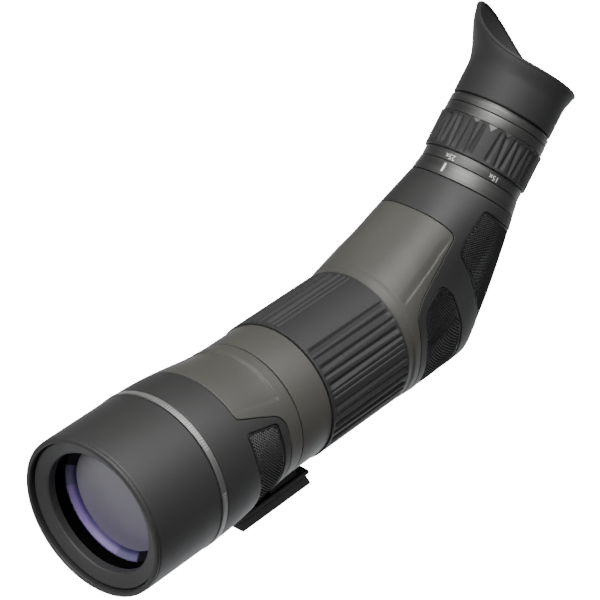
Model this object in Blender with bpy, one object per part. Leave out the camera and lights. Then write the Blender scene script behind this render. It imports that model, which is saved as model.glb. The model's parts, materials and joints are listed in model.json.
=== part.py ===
"""Angled zoom spotting scope with a 65 mm objective, as separate closed solids.

Metres, +Z up. The origin is the centre of the mounting foot's underside, +Y runs
from the objective towards the eyepiece, and the barrel lies parallel to Y. Most
pieces are turned, so they are drawn as (station, radius) profiles in millimetres
on one of two axes: the barrel's, with stations from the sunshade's front rim, and
the eyepiece's, which leaves the barrel's at the bend and rises at 45 degrees.
"""

import math

import bmesh
import bpy
import numpy as np
from mathutils import Matrix, Vector

MM = 0.001

# Driving dimensions, in millimetres and degrees.
AXIS_HEIGHT = 53.4          # barrel axis above the foot's underside
FOOT_STATION = 116.7        # foot centre behind the sunshade's rim
BEND_STATION = 247.5        # where the eyepiece axis leaves the barrel axis
BEND_ANGLE = 45.0
CLEAR_APERTURE = 65.2       # objective's clear diameter
GAP = 0.3                   # between pieces that touch
SKIN = 1.8                  # thickness of armour and panels
BARREL_GAP = 1.0            # between the front skins and the barrel under them
CASTING_GAP = 1.4           # between the bent skins and the casting under them
SEAM_TURN = 0.8             # how far a skin stops short of its neighbour round the body

BODY_RADII = [(50, 43.4), (60, 43.4), (80, 41.6), (100, 39.2), (113.4, 38.2)]
COLLAR_FRONT, COLLAR_REAR, COLLAR_RADIUS = 114.1, 136.5, 38.1
FOCUS_FRONT, FOCUS_REAR, FOCUS_RADIUS = 136.9, 199.2, 39.0
HOUSING_FRONT = 199.6
NECK_STATION, NECK_RADIUS = 64.6, 30.3

FOOT_LENGTH, FOOT_WIDTH, FOOT_HEIGHT = 52.8, 38.0, 8.8
SOCKET_LARGE, SOCKET_SMALL, SOCKET_DEPTH = 4.76, 3.18, 7.0
SOCKET_LARGE_Y, SOCKET_SMALL_Y = -10.0, 20.4
FOOT_SCREW_X, FOOT_SCREW_Y = 9.5, 8.8

VISIBLE, MIDDLE, INNER, SMALL = 32, 24, 20, 10      # segments around a turned piece

COLOURS = {
    "armour": ((0.052, 0.052, 0.052), 0.55, 0.0),
    "olive": ((0.105, 0.103, 0.090), 0.45, 0.2),
    "black_metal": ((0.020, 0.020, 0.021), 0.40, 0.6),
    "bright_metal": ((0.42, 0.42, 0.41), 0.30, 1.0),
    "grey_metal": ((0.16, 0.16, 0.155), 0.35, 0.9),
    "steel": ((0.50, 0.50, 0.50), 0.30, 1.0),
    "rubber": ((0.030, 0.030, 0.031), 0.65, 0.0),
    "pad": ((0.014, 0.014, 0.014), 0.70, 0.0),
    "polymer": ((0.60, 0.59, 0.55), 0.45, 0.0),
    "glass": ((0.50, 0.47, 0.62), 0.04, 0.0),
}


# ---------------------------------------------------------------- scene helpers

def clear_scene():
    for item in list(bpy.data.objects):
        bpy.data.objects.remove(item, do_unlink=True)


def add_axis(name, station_y, height, tilt):
    """An empty whose Z is the axis direction, tilted up from +Y by tilt degrees."""
    empty = bpy.data.objects.new(name, None)
    empty.location = (0, (station_y - FOOT_STATION) * MM, height * MM)
    empty.rotation_euler = (math.radians(tilt - 90), 0, 0)
    bpy.context.collection.objects.link(empty)
    return empty


def add_material(name, kind):
    colour, roughness, metallic = COLOURS[kind]
    material = bpy.data.materials.new(name)
    material.use_nodes = True
    shader = material.node_tree.nodes["Principled BSDF"]
    shader.inputs["Base Color"].default_value = (*colour, 1)
    shader.inputs["Roughness"].default_value = roughness
    shader.inputs["Metallic"].default_value = metallic
    return material


def add_solid(name, bm, kind, parent=None):
    """Close the bmesh into an object of its own; kind None makes a hidden cutter."""
    bmesh.ops.remove_doubles(bm, verts=bm.verts, dist=1e-6)
    bmesh.ops.recalc_face_normals(bm, faces=bm.faces)
    mesh = bpy.data.meshes.new(name)
    bm.to_mesh(mesh)
    bm.free()
    mesh.shade_smooth()
    mesh.set_sharp_from_angle(angle=math.radians(32))
    item = bpy.data.objects.new(name, mesh)
    bpy.context.collection.objects.link(item)
    item.parent = parent
    if kind:
        mesh.materials.append(add_material(name, kind))
    else:
        item.hide_render = True
        item.display_type = "WIRE"
    return item


def combine(item, others, operation="DIFFERENCE"):
    for other in others:
        modifier = item.modifiers.new(other.name, "BOOLEAN")
        modifier.object = other
        modifier.operation = operation
        modifier.solver = "EXACT"


# ---------------------------------------------------------------- shape helpers

def lathe(name, profile, kind, axis, segments=VISIBLE, solid=False):
    """Turn (station, radius) points about the axis; a solid's profile ends on it."""
    bm = bmesh.new()
    verts = [bm.verts.new((radius * MM, 0, station * MM)) for station, radius in profile]
    edges = [bm.edges.new(pair) for pair in zip(verts, verts[1:])]
    if not solid:
        edges.append(bm.edges.new((verts[-1], verts[0])))
    bmesh.ops.spin(bm, geom=verts + edges, cent=(0, 0, 0), axis=(0, 0, 1), angle=math.tau,
                   steps=segments, use_merge=True)
    return add_solid(name, bm, kind, axis)


def tube(name, front, rear, outer, inner, kind, axis, segments=VISIBLE):
    return lathe(name, [(front, outer), (rear, outer), (rear, inner), (front, inner)], kind, axis, segments)


def seal(name, station, radius, axis, thickness=0.5):
    """An O-ring, drawn as a square turned about the axis."""
    profile = [(station + thickness * math.cos(a), radius + thickness * math.sin(a))
               for a in (i * math.tau / 4 for i in range(4))]
    return lathe(name, profile, "rubber", axis, INNER)


def lens(name, edge_front, edge_rear, radius, front_rise, rear_rise, axis, segments=INNER, steps=2):
    """A disc whose faces bulge by their rises; a negative rise is a hollow."""
    rings = [radius * i / steps for i in range(steps + 1)]
    front = [(edge_front - front_rise * (1 - (r / radius) ** 2), r) for r in rings]
    rear = [(edge_rear + rear_rise * (1 - (r / radius) ** 2), r) for r in reversed(rings)]
    return lathe(name, front + rear, "glass", axis, segments, solid=True)


def grid_faces(bm, rings, wrap_rings, wrap_points):
    """Join a grid of points row by row, and return its vertices."""
    verts = [[bm.verts.new(point) for point in ring] for ring in rings]
    rows, columns = len(verts), len(verts[0])
    for i in range(rows if wrap_rings else rows - 1):
        below, above = verts[i], verts[(i + 1) % rows]
        for j in range(columns if wrap_points else columns - 1):
            k = (j + 1) % columns
            bm.faces.new((below[j], below[k], above[k], above[j]))
    return verts


def ringed(name, rings, kind, parent=None):
    """A closed sleeve through rings of points, the last joined to the first."""
    bm = bmesh.new()
    grid_faces(bm, rings, True, True)
    return add_solid(name, bm, kind, parent)


def ring_angles(segments):
    return [360.0 * i / segments for i in range(segments)]


def skin_rings(skin, angles, front, back, depths, rows):
    """Outer rows front to back and inner rows back to front, between two edge curves."""
    fractions = [i / rows for i in range(rows + 1)]
    outer, inner = depths
    rings = []
    for depth, steps in ((outer, fractions), (inner, fractions[::-1])):
        for step in steps:
            ring = []
            for angle in angles:
                station = front(angle) + (back(angle) - front(angle)) * step
                ring.append(skin(station, angle, depth))
            rings.append(ring)
    return rings


def skin_sleeve(name, skin, front, back, depths, rows, kind, parent=None, segments=VISIBLE):
    return ringed(name, skin_rings(skin, ring_angles(segments), front, back, depths, rows), kind, parent)


def skin_patch(name, skin, angles, front, back, depths, rows, kind, parent=None):
    """A closed pad on part of a skin, open in angle, so its two sides are capped."""
    rings = skin_rings(skin, angles, front, back, depths, rows)
    bm = bmesh.new()
    verts = grid_faces(bm, rings, True, False)
    for column in (0, -1):
        for i in range(rows):
            corners = (verts[i], verts[i + 1], verts[-2 - i], verts[-1 - i])
            bm.faces.new([ring[column] for ring in corners])
    return add_solid(name, bm, kind, parent)


class SeamGrid:
    """Grid points for two panels that share a seam: a tongue on top, and what lies round it.

    Rows run from start to end. Between the near and the far row the first columns span
    the tongue, whose half width in degrees depends on the share of its length.
    """

    def __init__(self, stations, half_widths, rows, columns=(10, 20)):
        self.start, self.near, self.far, self.end = stations
        self.half_widths, self.rows, self.columns = half_widths, rows, columns

    def place(self, row, column, shift, turn):
        """A grid point's station and angle; shift and turn hold a panel back from the seam."""
        near_row, far_row, last_row = self.rows
        tongue, rest = self.columns
        share = (row - near_row) / (far_row - near_row)
        half = steps_between(self.half_widths, share) + turn
        if column <= tongue:
            angle = half * (2 * column / tongue - 1)
        else:
            angle = half + (360 - 2 * half) * (column - tongue) / rest
        near, far = self.near + shift, self.far(angle) + shift
        if row <= near_row:
            return self.start + (near - self.start) * row / near_row, angle
        if row <= far_row:
            return near + (far - near) * share, angle
        return far + (self.end - far) * (row - far_row) / (last_row - far_row), angle

    def panel(self, name, skin, keep, kind, parent=None, shift=0.0, turn=0.0):
        """A closed panel, SKIN thick, from the cells that keep(row, in_tongue) picks."""
        near_row, far_row, last_row = self.rows
        width = sum(self.columns)
        cells = {(row, column) for row in range(last_row) for column in range(width)
                 if keep(row, column < self.columns[0])}
        bm = bmesh.new()
        made = {}

        def vert(row, column, depth):
            key = (row, column % width, depth)
            if key not in made:
                made[key] = bm.verts.new(skin(*self.place(row, column % width, shift, turn), depth))
            return made[key]

        for row, column in cells:
            corners = [(row, column), (row, column + 1), (row + 1, column + 1), (row + 1, column)]
            for depth in (0.0, SKIN):
                bm.faces.new([vert(*corner, depth) for corner in corners])
            beyond = [(row - 1, column), (row, column + 1), (row + 1, column), (row, column - 1)]
            for side, (next_row, next_column) in enumerate(beyond):
                if (next_row, next_column % width) not in cells:
                    a, b = corners[side], corners[(side + 1) % 4]
                    bm.faces.new((vert(*a, 0.0), vert(*b, 0.0), vert(*b, SKIN), vert(*a, SKIN)))
        return add_solid(name, bm, kind, parent)


def bar(name, outline, start, end, kind, direction="Y", parent=None):
    """Extrude an outline in millimetres: (x, z) points along Y, or (y, z) points along X."""
    place = {"Y": lambda a, b, t: (a * MM, t * MM, b * MM), "X": lambda a, b, t: (t * MM, a * MM, b * MM)}
    bm = bmesh.new()
    face = bm.faces.new([bm.verts.new(place[direction](a, b, start)) for a, b in outline])
    extruded = bmesh.ops.extrude_face_region(bm, geom=[face])["geom"]
    shift = Vector(place[direction](0, 0, end - start))
    bmesh.ops.translate(bm, vec=shift, verts=[v for v in extruded if isinstance(v, bmesh.types.BMVert)])
    return add_solid(name, bm, kind, parent)


def ribbed_sleeve(name, stations, inner, valley, crest, ribs, kind, axis):
    """A grip with lengthwise ribs, wide and narrow by turns, that die out at both ends."""
    front, rear = stations
    run_out = min(2.5, (rear - front) * 0.15)
    pitch = 360.0 / ribs
    angles, radii = [], []
    for i in range(ribs):
        share = 0.62 if i % 3 else 0.40
        for offset, radius in ((0.0, crest), (share, crest), (share + 0.10, valley), (0.90, valley)):
            angles.append((i + offset) * pitch)
            radii.append(radius)

    def ring(station, chosen):
        return [polar(angle, radius, station) for angle, radius in zip(angles, chosen)]

    flat = [valley] * len(angles)
    bore = [inner] * len(angles)
    rings = [ring(front, flat), ring(front + run_out, radii), ring(rear - run_out, radii),
             ring(rear, flat), ring(rear, bore), ring(front, bore)]
    return ringed(name, rings, kind, axis)


def polar(angle, radius, station):
    """A point about an axis empty: angle 0 is the top, and +X is at 90 degrees."""
    turn = math.radians(angle)
    return (radius * math.sin(turn) * MM, -radius * math.cos(turn) * MM, station * MM)


def signed(angle):
    return (angle + 180.0) % 360.0 - 180.0


def steps_between(points, value):
    """Straight-line interpolation through (position, value) pairs."""
    return float(np.interp(value, [p[0] for p in points], [p[1] for p in points]))


# ---------------------------------------------------------------- skins

def body_skin(station, angle, depth):
    return polar(angle, steps_between(BODY_RADII, station) - depth, station)


class HousingForm:
    """The bent prism housing: sections that tilt with the spine from barrel to eyepiece."""

    SPINE_RADIUS = 60.0
    TOP_FRONT, TOP_REAR = (HOUSING_FRONT, 38.2), (271.8, 66.6)
    BELLY, HEEL_RADIUS, BACK_OFFSET = -39.0, 10.0, 41.5
    WIDTHS = np.polyfit([0, 1 / 3, 2 / 3, 1], [38.8, 34.0, 31.8, NECK_RADIUS], 3)
    SQUARENESS = 0.9

    def __init__(self):
        slope = math.radians(BEND_ANGLE)
        self.tangent = self.SPINE_RADIUS * math.tan(slope / 2)
        self.straight = BEND_STATION - self.tangent - HOUSING_FRONT
        self.arc = self.SPINE_RADIUS * slope
        self.length = self.straight + self.arc + NECK_STATION - self.tangent
        self.slope = slope
        self.top = self.extended(self.TOP_FRONT, self.TOP_REAR)
        self.belly = self.heel_outline()

    @staticmethod
    def extended(start, end, reach=60.0):
        step = [(end[i] - start[i]) / math.dist(start, end) * reach for i in (0, 1)]
        return [(start[0] - step[0], start[1] - step[1]), (end[0] + step[0], end[1] + step[1])]

    def heel_outline(self):
        """Side view: the belly line, the heel's arc, and the line up the neck's back."""
        c = math.cos(self.slope)
        foot = (BEND_STATION + self.BACK_OFFSET * c, -self.BACK_OFFSET * c)
        neck = (BEND_STATION + (NECK_STATION + NECK_RADIUS) * c, (NECK_STATION - NECK_RADIUS) * c)
        climb = math.atan2(neck[1] - foot[1], neck[0] - foot[0])
        corner = foot[0] + (self.BELLY - foot[1]) / math.tan(climb)
        cut = self.HEEL_RADIUS * math.tan(climb / 2)
        centre = (corner - cut, self.BELLY + self.HEEL_RADIUS)
        turns = [climb * i / 6 - math.pi / 2 for i in range(7)]
        arc = [(centre[0] + self.HEEL_RADIUS * math.cos(t), centre[1] + self.HEEL_RADIUS * math.sin(t))
               for t in turns]
        return [(HOUSING_FRONT - 60, self.BELLY), *arc, self.extended(foot, neck)[1]]

    def spine(self, share):
        """Centre and tilt of the section at a share of the spine's length."""
        run = share * self.length
        if run < self.straight:
            return (HOUSING_FRONT + run, 0.0), 0.0
        if run < self.straight + self.arc:
            tilt = (run - self.straight) / self.SPINE_RADIUS
            return (HOUSING_FRONT + self.straight + self.SPINE_RADIUS * math.sin(tilt),
                    self.SPINE_RADIUS * (1 - math.cos(tilt))), tilt
        reach = self.tangent + run - self.straight - self.arc
        return (BEND_STATION + reach * math.cos(self.slope), reach * math.sin(self.slope)), self.slope

    @staticmethod
    def reach(centre, direction, outline):
        """How far a ray from the centre runs before it meets the outline."""
        for start, end in zip(outline, outline[1:]):
            along = (end[0] - start[0], end[1] - start[1])
            cross = direction[0] * along[1] - direction[1] * along[0]
            offset = (start[0] - centre[0], start[1] - centre[1])
            ray = (offset[0] * along[1] - offset[1] * along[0]) / cross if cross else -1.0
            share = (offset[0] * direction[1] - offset[1] * direction[0]) / cross if cross else -1.0
            if ray > 0 and -1e-6 <= share <= 1 + 1e-6:
                return ray
        raise ValueError("the section misses the housing's outline")

    def skin(self, share, angle, depth):
        centre, tilt = self.spine(share)
        up = (-math.sin(tilt), math.cos(tilt))
        turn = math.radians(angle)
        sine, cosine = math.sin(turn), math.cos(turn)
        if cosine > 0:
            height = self.reach(centre, up, self.top)
        else:
            height = self.reach(centre, (-up[0], -up[1]), self.belly)
        width = float(np.polyval(self.WIDTHS, share))
        power = 2 / (2 + self.SQUARENESS * math.sin(math.pi * share))
        x = math.copysign(abs(sine) ** power, sine) * width
        v = math.copysign(abs(cosine) ** power, cosine) * height
        inset = 1 - depth / math.hypot(x, v)
        x, v = x * inset, v * inset
        y = centre[0] + v * up[0] - FOOT_STATION
        return (x * MM, y * MM, (centre[1] + v * up[1] + AXIS_HEIGHT) * MM)


# ---------------------------------------------------------------- front of the scope

def build_sunshade(axis):
    lip = [(0.0, 42.5), (0.2, 43.0), (0.9, 43.25), (2.0, 43.3)]
    bore = [(45.9, 43.4), (45.9, 41.7), (4.4, 41.7), (3.4, 42.0), (0.6, 42.15)]
    lathe("sunshade", lip + bore, "armour", axis)
    tube("sunshade_brake_ring", 37.9, 41.1, 41.4, 40.3, "rubber", axis)
    tube("trim_ring", 46.5, 50.2, 43.75, 41.7, "bright_metal", axis)


def build_objective(axis):
    aperture = CLEAR_APERTURE / 2
    lathe("objective_bezel", [(5.0, 41.2), (4.3, 40.7), (4.2, 33.4), (4.7, aperture), (9.6, aperture),
                              (9.6, 38.5), (7.7, 38.5), (7.7, 41.2)], "black_metal", axis)
    barrel_outer = [(station, radius - SKIN - BARREL_GAP) for station, radius in BODY_RADII[1:-1]]
    groove = [(37.5, 41.3), (37.5, 40.0), (41.5, 40.0), (41.5, 41.3)]
    lathe("objective_barrel", [(8.0, 41.3), *groove, (50.8, 41.2), *barrel_outer, (112.0, 36.0), (112.0, 33.9),
                               (104.0, 33.9), (34.6, 36.6), (34.6, 38.9), (8.0, 38.9)],
          "black_metal", axis, VISIBLE)
    lathe("objective_cell", [(10.0, 38.5), (34.2, 38.5), (34.2, 32.0), (32.0, 32.0), (32.0, 34.4), (10.0, 34.4)],
          "black_metal", axis, VISIBLE)
    tube("objective_retaining_ring", 10.4, 16.4, 34.1, aperture, "black_metal", axis, VISIBLE)
    lens("objective_front_lens", 17.0, 21.0, 34.0, 3.2, 2.4, axis, VISIBLE, 4)
    tube("lens_spacer_ring", 21.4, 22.8, 34.0, 32.6, "bright_metal", axis, INNER)
    lens("objective_rear_lens", 23.2, 31.0, 34.0, -2.8, -0.6, axis, VISIBLE)
    lathe("front_baffle", [(72.0, 34.4), (73.4, 34.4), (75.2, 27.0), (73.8, 27.0)], "black_metal", axis, INNER)


def build_front_skins(axis):
    """The top panel is a tongue over the barrel, joined to a strip behind the armour."""
    grid = SeamGrid((50.6, 73.9, lambda angle: 103.9, 113.4),
                    [(0, 43), (0.07, 45), (0.43, 50.3), (0.89, 59), (1, 67)], (1, 5, 6))
    armour = grid.panel("front_armour", body_skin, lambda row, tongue: row < 1 or (row < 5 and not tongue),
                        "armour", axis, -GAP, SEAM_TURN)
    grid.panel("front_top_panel", body_skin, lambda row, tongue: row >= 5 or (row >= 1 and tongue), "olive", axis)
    for side, sign in (("right", 1), ("left", -1)):
        angles = [sign * (63.0 + 67.0 * i / 8) for i in range(9)]
        grown = [angles[0] - sign * 0.6, *angles[1:-1], angles[-1] + sign * 0.6]
        pocket = skin_patch("pocket_front_" + side, body_skin, grown, lambda angle: 74.6, lambda angle: 98.2,
                            (-0.5, 1.2), 3, None, axis)
        combine(armour, [pocket])
        skin_patch("front_grip_pad_" + side, body_skin, angles, lambda angle: 75.0, lambda angle: 97.8,
                   (-0.2, 0.8), 3, "pad", axis)


# ---------------------------------------------------------------- collar and foot

def build_collar(axis):
    lathe("collar_liner", [(114.6, 35.1), (136.0, 35.1), (136.0, 34.1), (114.6, 34.1)], "polymer", axis, INNER)
    ring = tube("tripod_collar", COLLAR_FRONT, COLLAR_REAR, COLLAR_RADIUS, 35.5, "olive", axis)
    top, bottom = AXIS_HEIGHT - 36.6, FOOT_HEIGHT + GAP
    stem = bar("stem_block", [(-13.0, top), (-16.0, bottom), (16.0, bottom), (13.0, top)],
               COLLAR_FRONT - FOOT_STATION + 0.6, COLLAR_REAR - FOOT_STATION - 0.6, None)
    boss = lathe("lock_boss", [(36.6, 0), (36.6, 6.5), (41.0, 5.6), (41.0, 0)], None, knob_axis(), SMALL,
                 solid=True)
    combine(ring, [stem, boss], "UNION")
    screw_holes = [drill("stem_hole_" + side, sign * FOOT_SCREW_X, FOOT_SCREW_Y, 2.4, 8.0, 16.0)
                   for side, sign in (("right", 1), ("left", -1))]
    stud_hole = lathe("stud_hole", [(30.0, 0), (30.0, 2.3), (44.0, 2.3), (44.0, 0)], None, knob_axis(), SMALL,
                      solid=True)
    combine(ring, [*screw_holes, stud_hole])


def drill(name, x, y, radius, low, high, countersink=0.0):
    """A vertical cutter; a countersink widens its lower end to take a screw's head."""
    profile = [(low, 0), (low, radius), (high, radius), (high, 0)]
    if countersink:
        depth = countersink - radius
        profile = [(low, 0), (low, countersink), (1.4, countersink), (1.4 + depth, radius), (high, radius), (high, 0)]
    cutter = lathe(name, profile, None, None, SMALL, solid=True)
    cutter.location = (x * MM, y * MM, 0)
    return cutter


def build_foot():
    half, neck = FOOT_WIDTH / 2, FOOT_WIDTH / 2 - 3.1
    side = [(half - 0.6, 0), (half, 0.6), (half, 1.6), (neck, 4.4), (neck, 4.9), (half - 0.9, 6.6),
            (half - 0.9, FOOT_HEIGHT - 0.6), (half - 1.5, FOOT_HEIGHT)]
    outline = side + [(-x, z) for x, z in reversed(side)]
    foot = bar("mounting_foot", outline, -FOOT_LENGTH / 2, FOOT_LENGTH / 2, "black_metal")
    cutters = [drill("socket_large", 0, SOCKET_LARGE_Y, SOCKET_LARGE, -1, SOCKET_DEPTH),
               drill("socket_small", 0, SOCKET_SMALL_Y, SOCKET_SMALL, -1, SOCKET_DEPTH)]
    for side_name, sign in (("right", 1), ("left", -1)):
        cutters.append(drill("foot_hole_" + side_name, sign * FOOT_SCREW_X, FOOT_SCREW_Y, 2.5, -1, 10, 4.6))
        profile = [(2.2, 0), (2.2, 1.8), (0.4, 1.8), (0.4, 4.2), (1.3, 4.2), (3.4, 2.1), (15.0, 2.1), (15.0, 0)]
        screw = lathe("foot_screw_" + side_name, profile, "steel", None, SMALL, solid=True)
        screw.location = (sign * FOOT_SCREW_X * MM, FOOT_SCREW_Y * MM, 0)
    combine(foot, cutters)


def knob_axis():
    """The lock knob's axis: square to the barrel, low on the far side of the collar."""
    name = "knob_axis"
    if name in bpy.data.objects:
        return bpy.data.objects[name]
    empty = bpy.data.objects.new(name, None)
    middle = (COLLAR_FRONT + COLLAR_REAR) / 2 - FOOT_STATION
    empty.location = (0, middle * MM, AXIS_HEIGHT * MM)
    empty.rotation_euler = (0, math.radians(-120), 0)
    bpy.context.collection.objects.link(empty)
    return empty


def build_lock():
    axis = knob_axis()
    ribbed_sleeve("collar_lock_knob", (41.6, 52.5), 2.4, 7.4, 8.4, 7, "black_metal", axis)
    lathe("collar_lock_stud", [(36.0, 0), (36.0, 1.9), (52.9, 1.9), (52.9, 4.6), (54.2, 3.8), (54.2, 0)],
          "steel", axis, SMALL, solid=True)


# ---------------------------------------------------------------- tube and focusing

def build_tube(axis):
    grooves = [(139.9, 35.8), (139.9, 34.2), (142.3, 34.2), (142.3, 35.8),
               (193.7, 35.8), (193.7, 34.2), (196.1, 34.2), (196.1, 35.8)]
    tube_piece = lathe("main_tube", [(104.4, 33.5), (137.2, 33.5), (137.2, 35.8), *grooves, (199.2, 35.8),
                                     (199.2, 32.5), (202.4, 32.5), (202.4, 31.0), (104.4, 31.0)],
                       "black_metal", axis, MIDDLE)
    slot = bar("focus_slot", [(-2.2, 12.0), (2.2, 12.0), (2.2, 30.0), (-2.2, 30.0)],
               158.0 - FOOT_STATION, 188.0 - FOOT_STATION, None)
    combine(tube_piece, [slot])
    lathe("rear_baffle", [(144.6, 30.6), (146.0, 30.6), (147.8, 22.0), (146.4, 22.0)], "black_metal", axis, INNER)


def build_focus(axis):
    tube("focus_ring_core", FOCUS_FRONT, FOCUS_REAR, 37.0, 36.2, "black_metal", axis)
    ribbed_sleeve("focus_grip_sleeve", (FOCUS_FRONT + 0.1, FOCUS_REAR - 0.1), 37.3, 38.0, FOCUS_RADIUS, 18,
                  "rubber", axis)
    seal("focus_seal_front", 141.1, 35.4, axis)
    seal("focus_seal_rear", 194.9, 35.4, axis)
    lathe("focus_cell", [(165.0, 30.6), (178.0, 30.6), (178.0, 26.0), (168.0, 26.0), (168.0, 24.0), (165.0, 24.0)],
          "black_metal", axis, INNER)
    lens("focus_lens", 168.4, 174.0, 25.6, -1.2, -1.4, axis)
    tube("focus_lens_retainer", 174.6, 177.4, 25.6, 23.4, "black_metal", axis, INNER)
    pin = lathe("focus_drive_pin", [(30.95, 0), (30.95, 1.6), (35.85, 1.6), (35.85, 0)], "steel", None, SMALL,
                solid=True)
    pin.rotation_euler = (math.pi, 0, 0)
    pin.location = (0, (171.5 - FOOT_STATION) * MM, AXIS_HEIGHT * MM)


# ---------------------------------------------------------------- prism housing

def saddle_top(angle):
    """The saddle panel's seam across the top of the neck, as a share of the housing's length."""
    return steps_between([(0, 0.79), (16, 0.788), (36, 0.775), (50, 0.75)], abs(signed(angle)))


def side_pad_edges(angle):
    """Front and rear edge of a side pad, whose top corner is cut back."""
    front = steps_between([(66, 0.36), (75, 0.175), (90, 0.165)], abs(signed(angle)))
    rear = steps_between([(66, 0.43), (80, 0.465), (92, 0.45), (106, 0.42), (150, 0.36)], abs(signed(angle)))
    return front, rear


def rear_pad_front(angle):
    return steps_between([(62, 0.75), (66, 0.70), (86, 0.64), (104, 0.55), (180, 0.47)], abs(signed(angle)))


def build_housing():
    form = HousingForm()
    metal = SKIN + CASTING_GAP
    skin_sleeve("prism_housing", form.skin, lambda angle: 0.0, lambda angle: 0.995, (metal, metal + 1.8), 9,
                "black_metal", None, MIDDLE)
    margin = 0.8 / form.length
    grid = SeamGrid((0.0, 0.11, saddle_top, 0.998),
                    [(0, 64), (0.04, 60), (0.17, 56), (0.4, 54), (0.82, 53), (1, 50)], (1, 9, 11))
    grid.panel("saddle_panel", form.skin, lambda row, tongue: row < 1 or (row < 9 and tongue), "olive")
    armour = grid.panel("rear_armour", form.skin, lambda row, tongue: row >= 9 or (row >= 1 and not tongue),
                        "armour", None, GAP / form.length, SEAM_TURN)
    for side, sign in (("right", 1), ("left", -1)):
        angles = [sign * (67.5 + 12.5 * i) for i in range(7)]
        grown = [angles[0] - sign * 0.8, *angles[1:-1], angles[-1] + sign * 0.8]
        pocket = skin_patch("pocket_side_" + side, form.skin, grown,
                            lambda angle: side_pad_edges(angle)[0] - margin,
                            lambda angle: side_pad_edges(angle)[1] + margin, (-0.5, 1.2), 4, None)
        combine(armour, [pocket])
        skin_patch("side_grip_pad_" + side, form.skin, angles, lambda angle: side_pad_edges(angle)[0],
                   lambda angle: side_pad_edges(angle)[1], (-0.2, 0.6), 4, "pad")
    angles = [63.0 + 13.0 * i for i in range(19)]
    grown = [angles[0] - 0.8, *angles[1:-1], angles[-1] + 0.8]
    pocket = skin_patch("pocket_rear", form.skin, grown, lambda angle: rear_pad_front(angle) - margin,
                        lambda angle: 0.94 + margin, (-0.5, 1.2), 7, None)
    combine(armour, [pocket])
    skin_patch("rear_grip_pad", form.skin, angles, rear_pad_front, lambda angle: 0.94, (-0.2, 0.6), 7, "pad")


def build_prism():
    """A 45 degree roof prism: flat entry and exit faces, and a roof edge underneath."""
    entry, half, top, bottom = 226.0, 14.0, 17.0, -15.0
    apex = 2 ** 0.5 * (10.0 + BEND_STATION * math.cos(math.pi / 4)) - entry
    exit_low = (entry + (apex - bottom) / 2 ** 0.5, apex - (apex - bottom) / 2 ** 0.5)
    exit_high = (apex + entry - top, top)
    lean = math.radians(67.5)
    roof = 6.0
    ridge = [(y + roof * math.cos(lean), z - roof * math.sin(lean)) for y, z in ((entry, bottom), exit_low)]
    bm = bmesh.new()
    for y, z in ((entry, bottom + 3.0), exit_low, exit_high, (entry, top)):
        for x in (-half, half):
            bm.verts.new((x * MM, (y - FOOT_STATION) * MM, (z + AXIS_HEIGHT) * MM))
    for y, z in ridge:
        bm.verts.new((0, (max(y, entry) - FOOT_STATION) * MM, (z + AXIS_HEIGHT) * MM))
    bmesh.ops.convex_hull(bm, input=bm.verts)
    add_solid("roof_prism", bm, "glass")
    low, foot_top = AXIS_HEIGHT - 13.0, AXIS_HEIGHT - 11.2
    high = AXIS_HEIGHT + top + GAP
    side = [(26.0, low), (26.0, foot_top), (half + 2.0, foot_top), (half + 2.0, high + 1.6)]
    inside = [(half + 0.4, high), (half + 0.4, low)]
    outline = side + [(-x, z) for x, z in reversed(side)] + [(-x, z) for x, z in reversed(inside)] + inside
    bar("prism_bracket", outline, entry - FOOT_STATION + 2.0, entry - FOOT_STATION + 16.0, "black_metal")
    for side_name, sign in (("right", 1), ("left", -1)):
        screw = lathe("prism_screw_" + side_name, [(0, 0), (0, 2.4), (1.6, 2.4), (1.6, 0)], "steel", None,
                      SMALL, solid=True)
        screw.location = (sign * 21.0 * MM, (entry - FOOT_STATION + 9.0) * MM, (foot_top + GAP) * MM)


# ---------------------------------------------------------------- eyepiece

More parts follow.
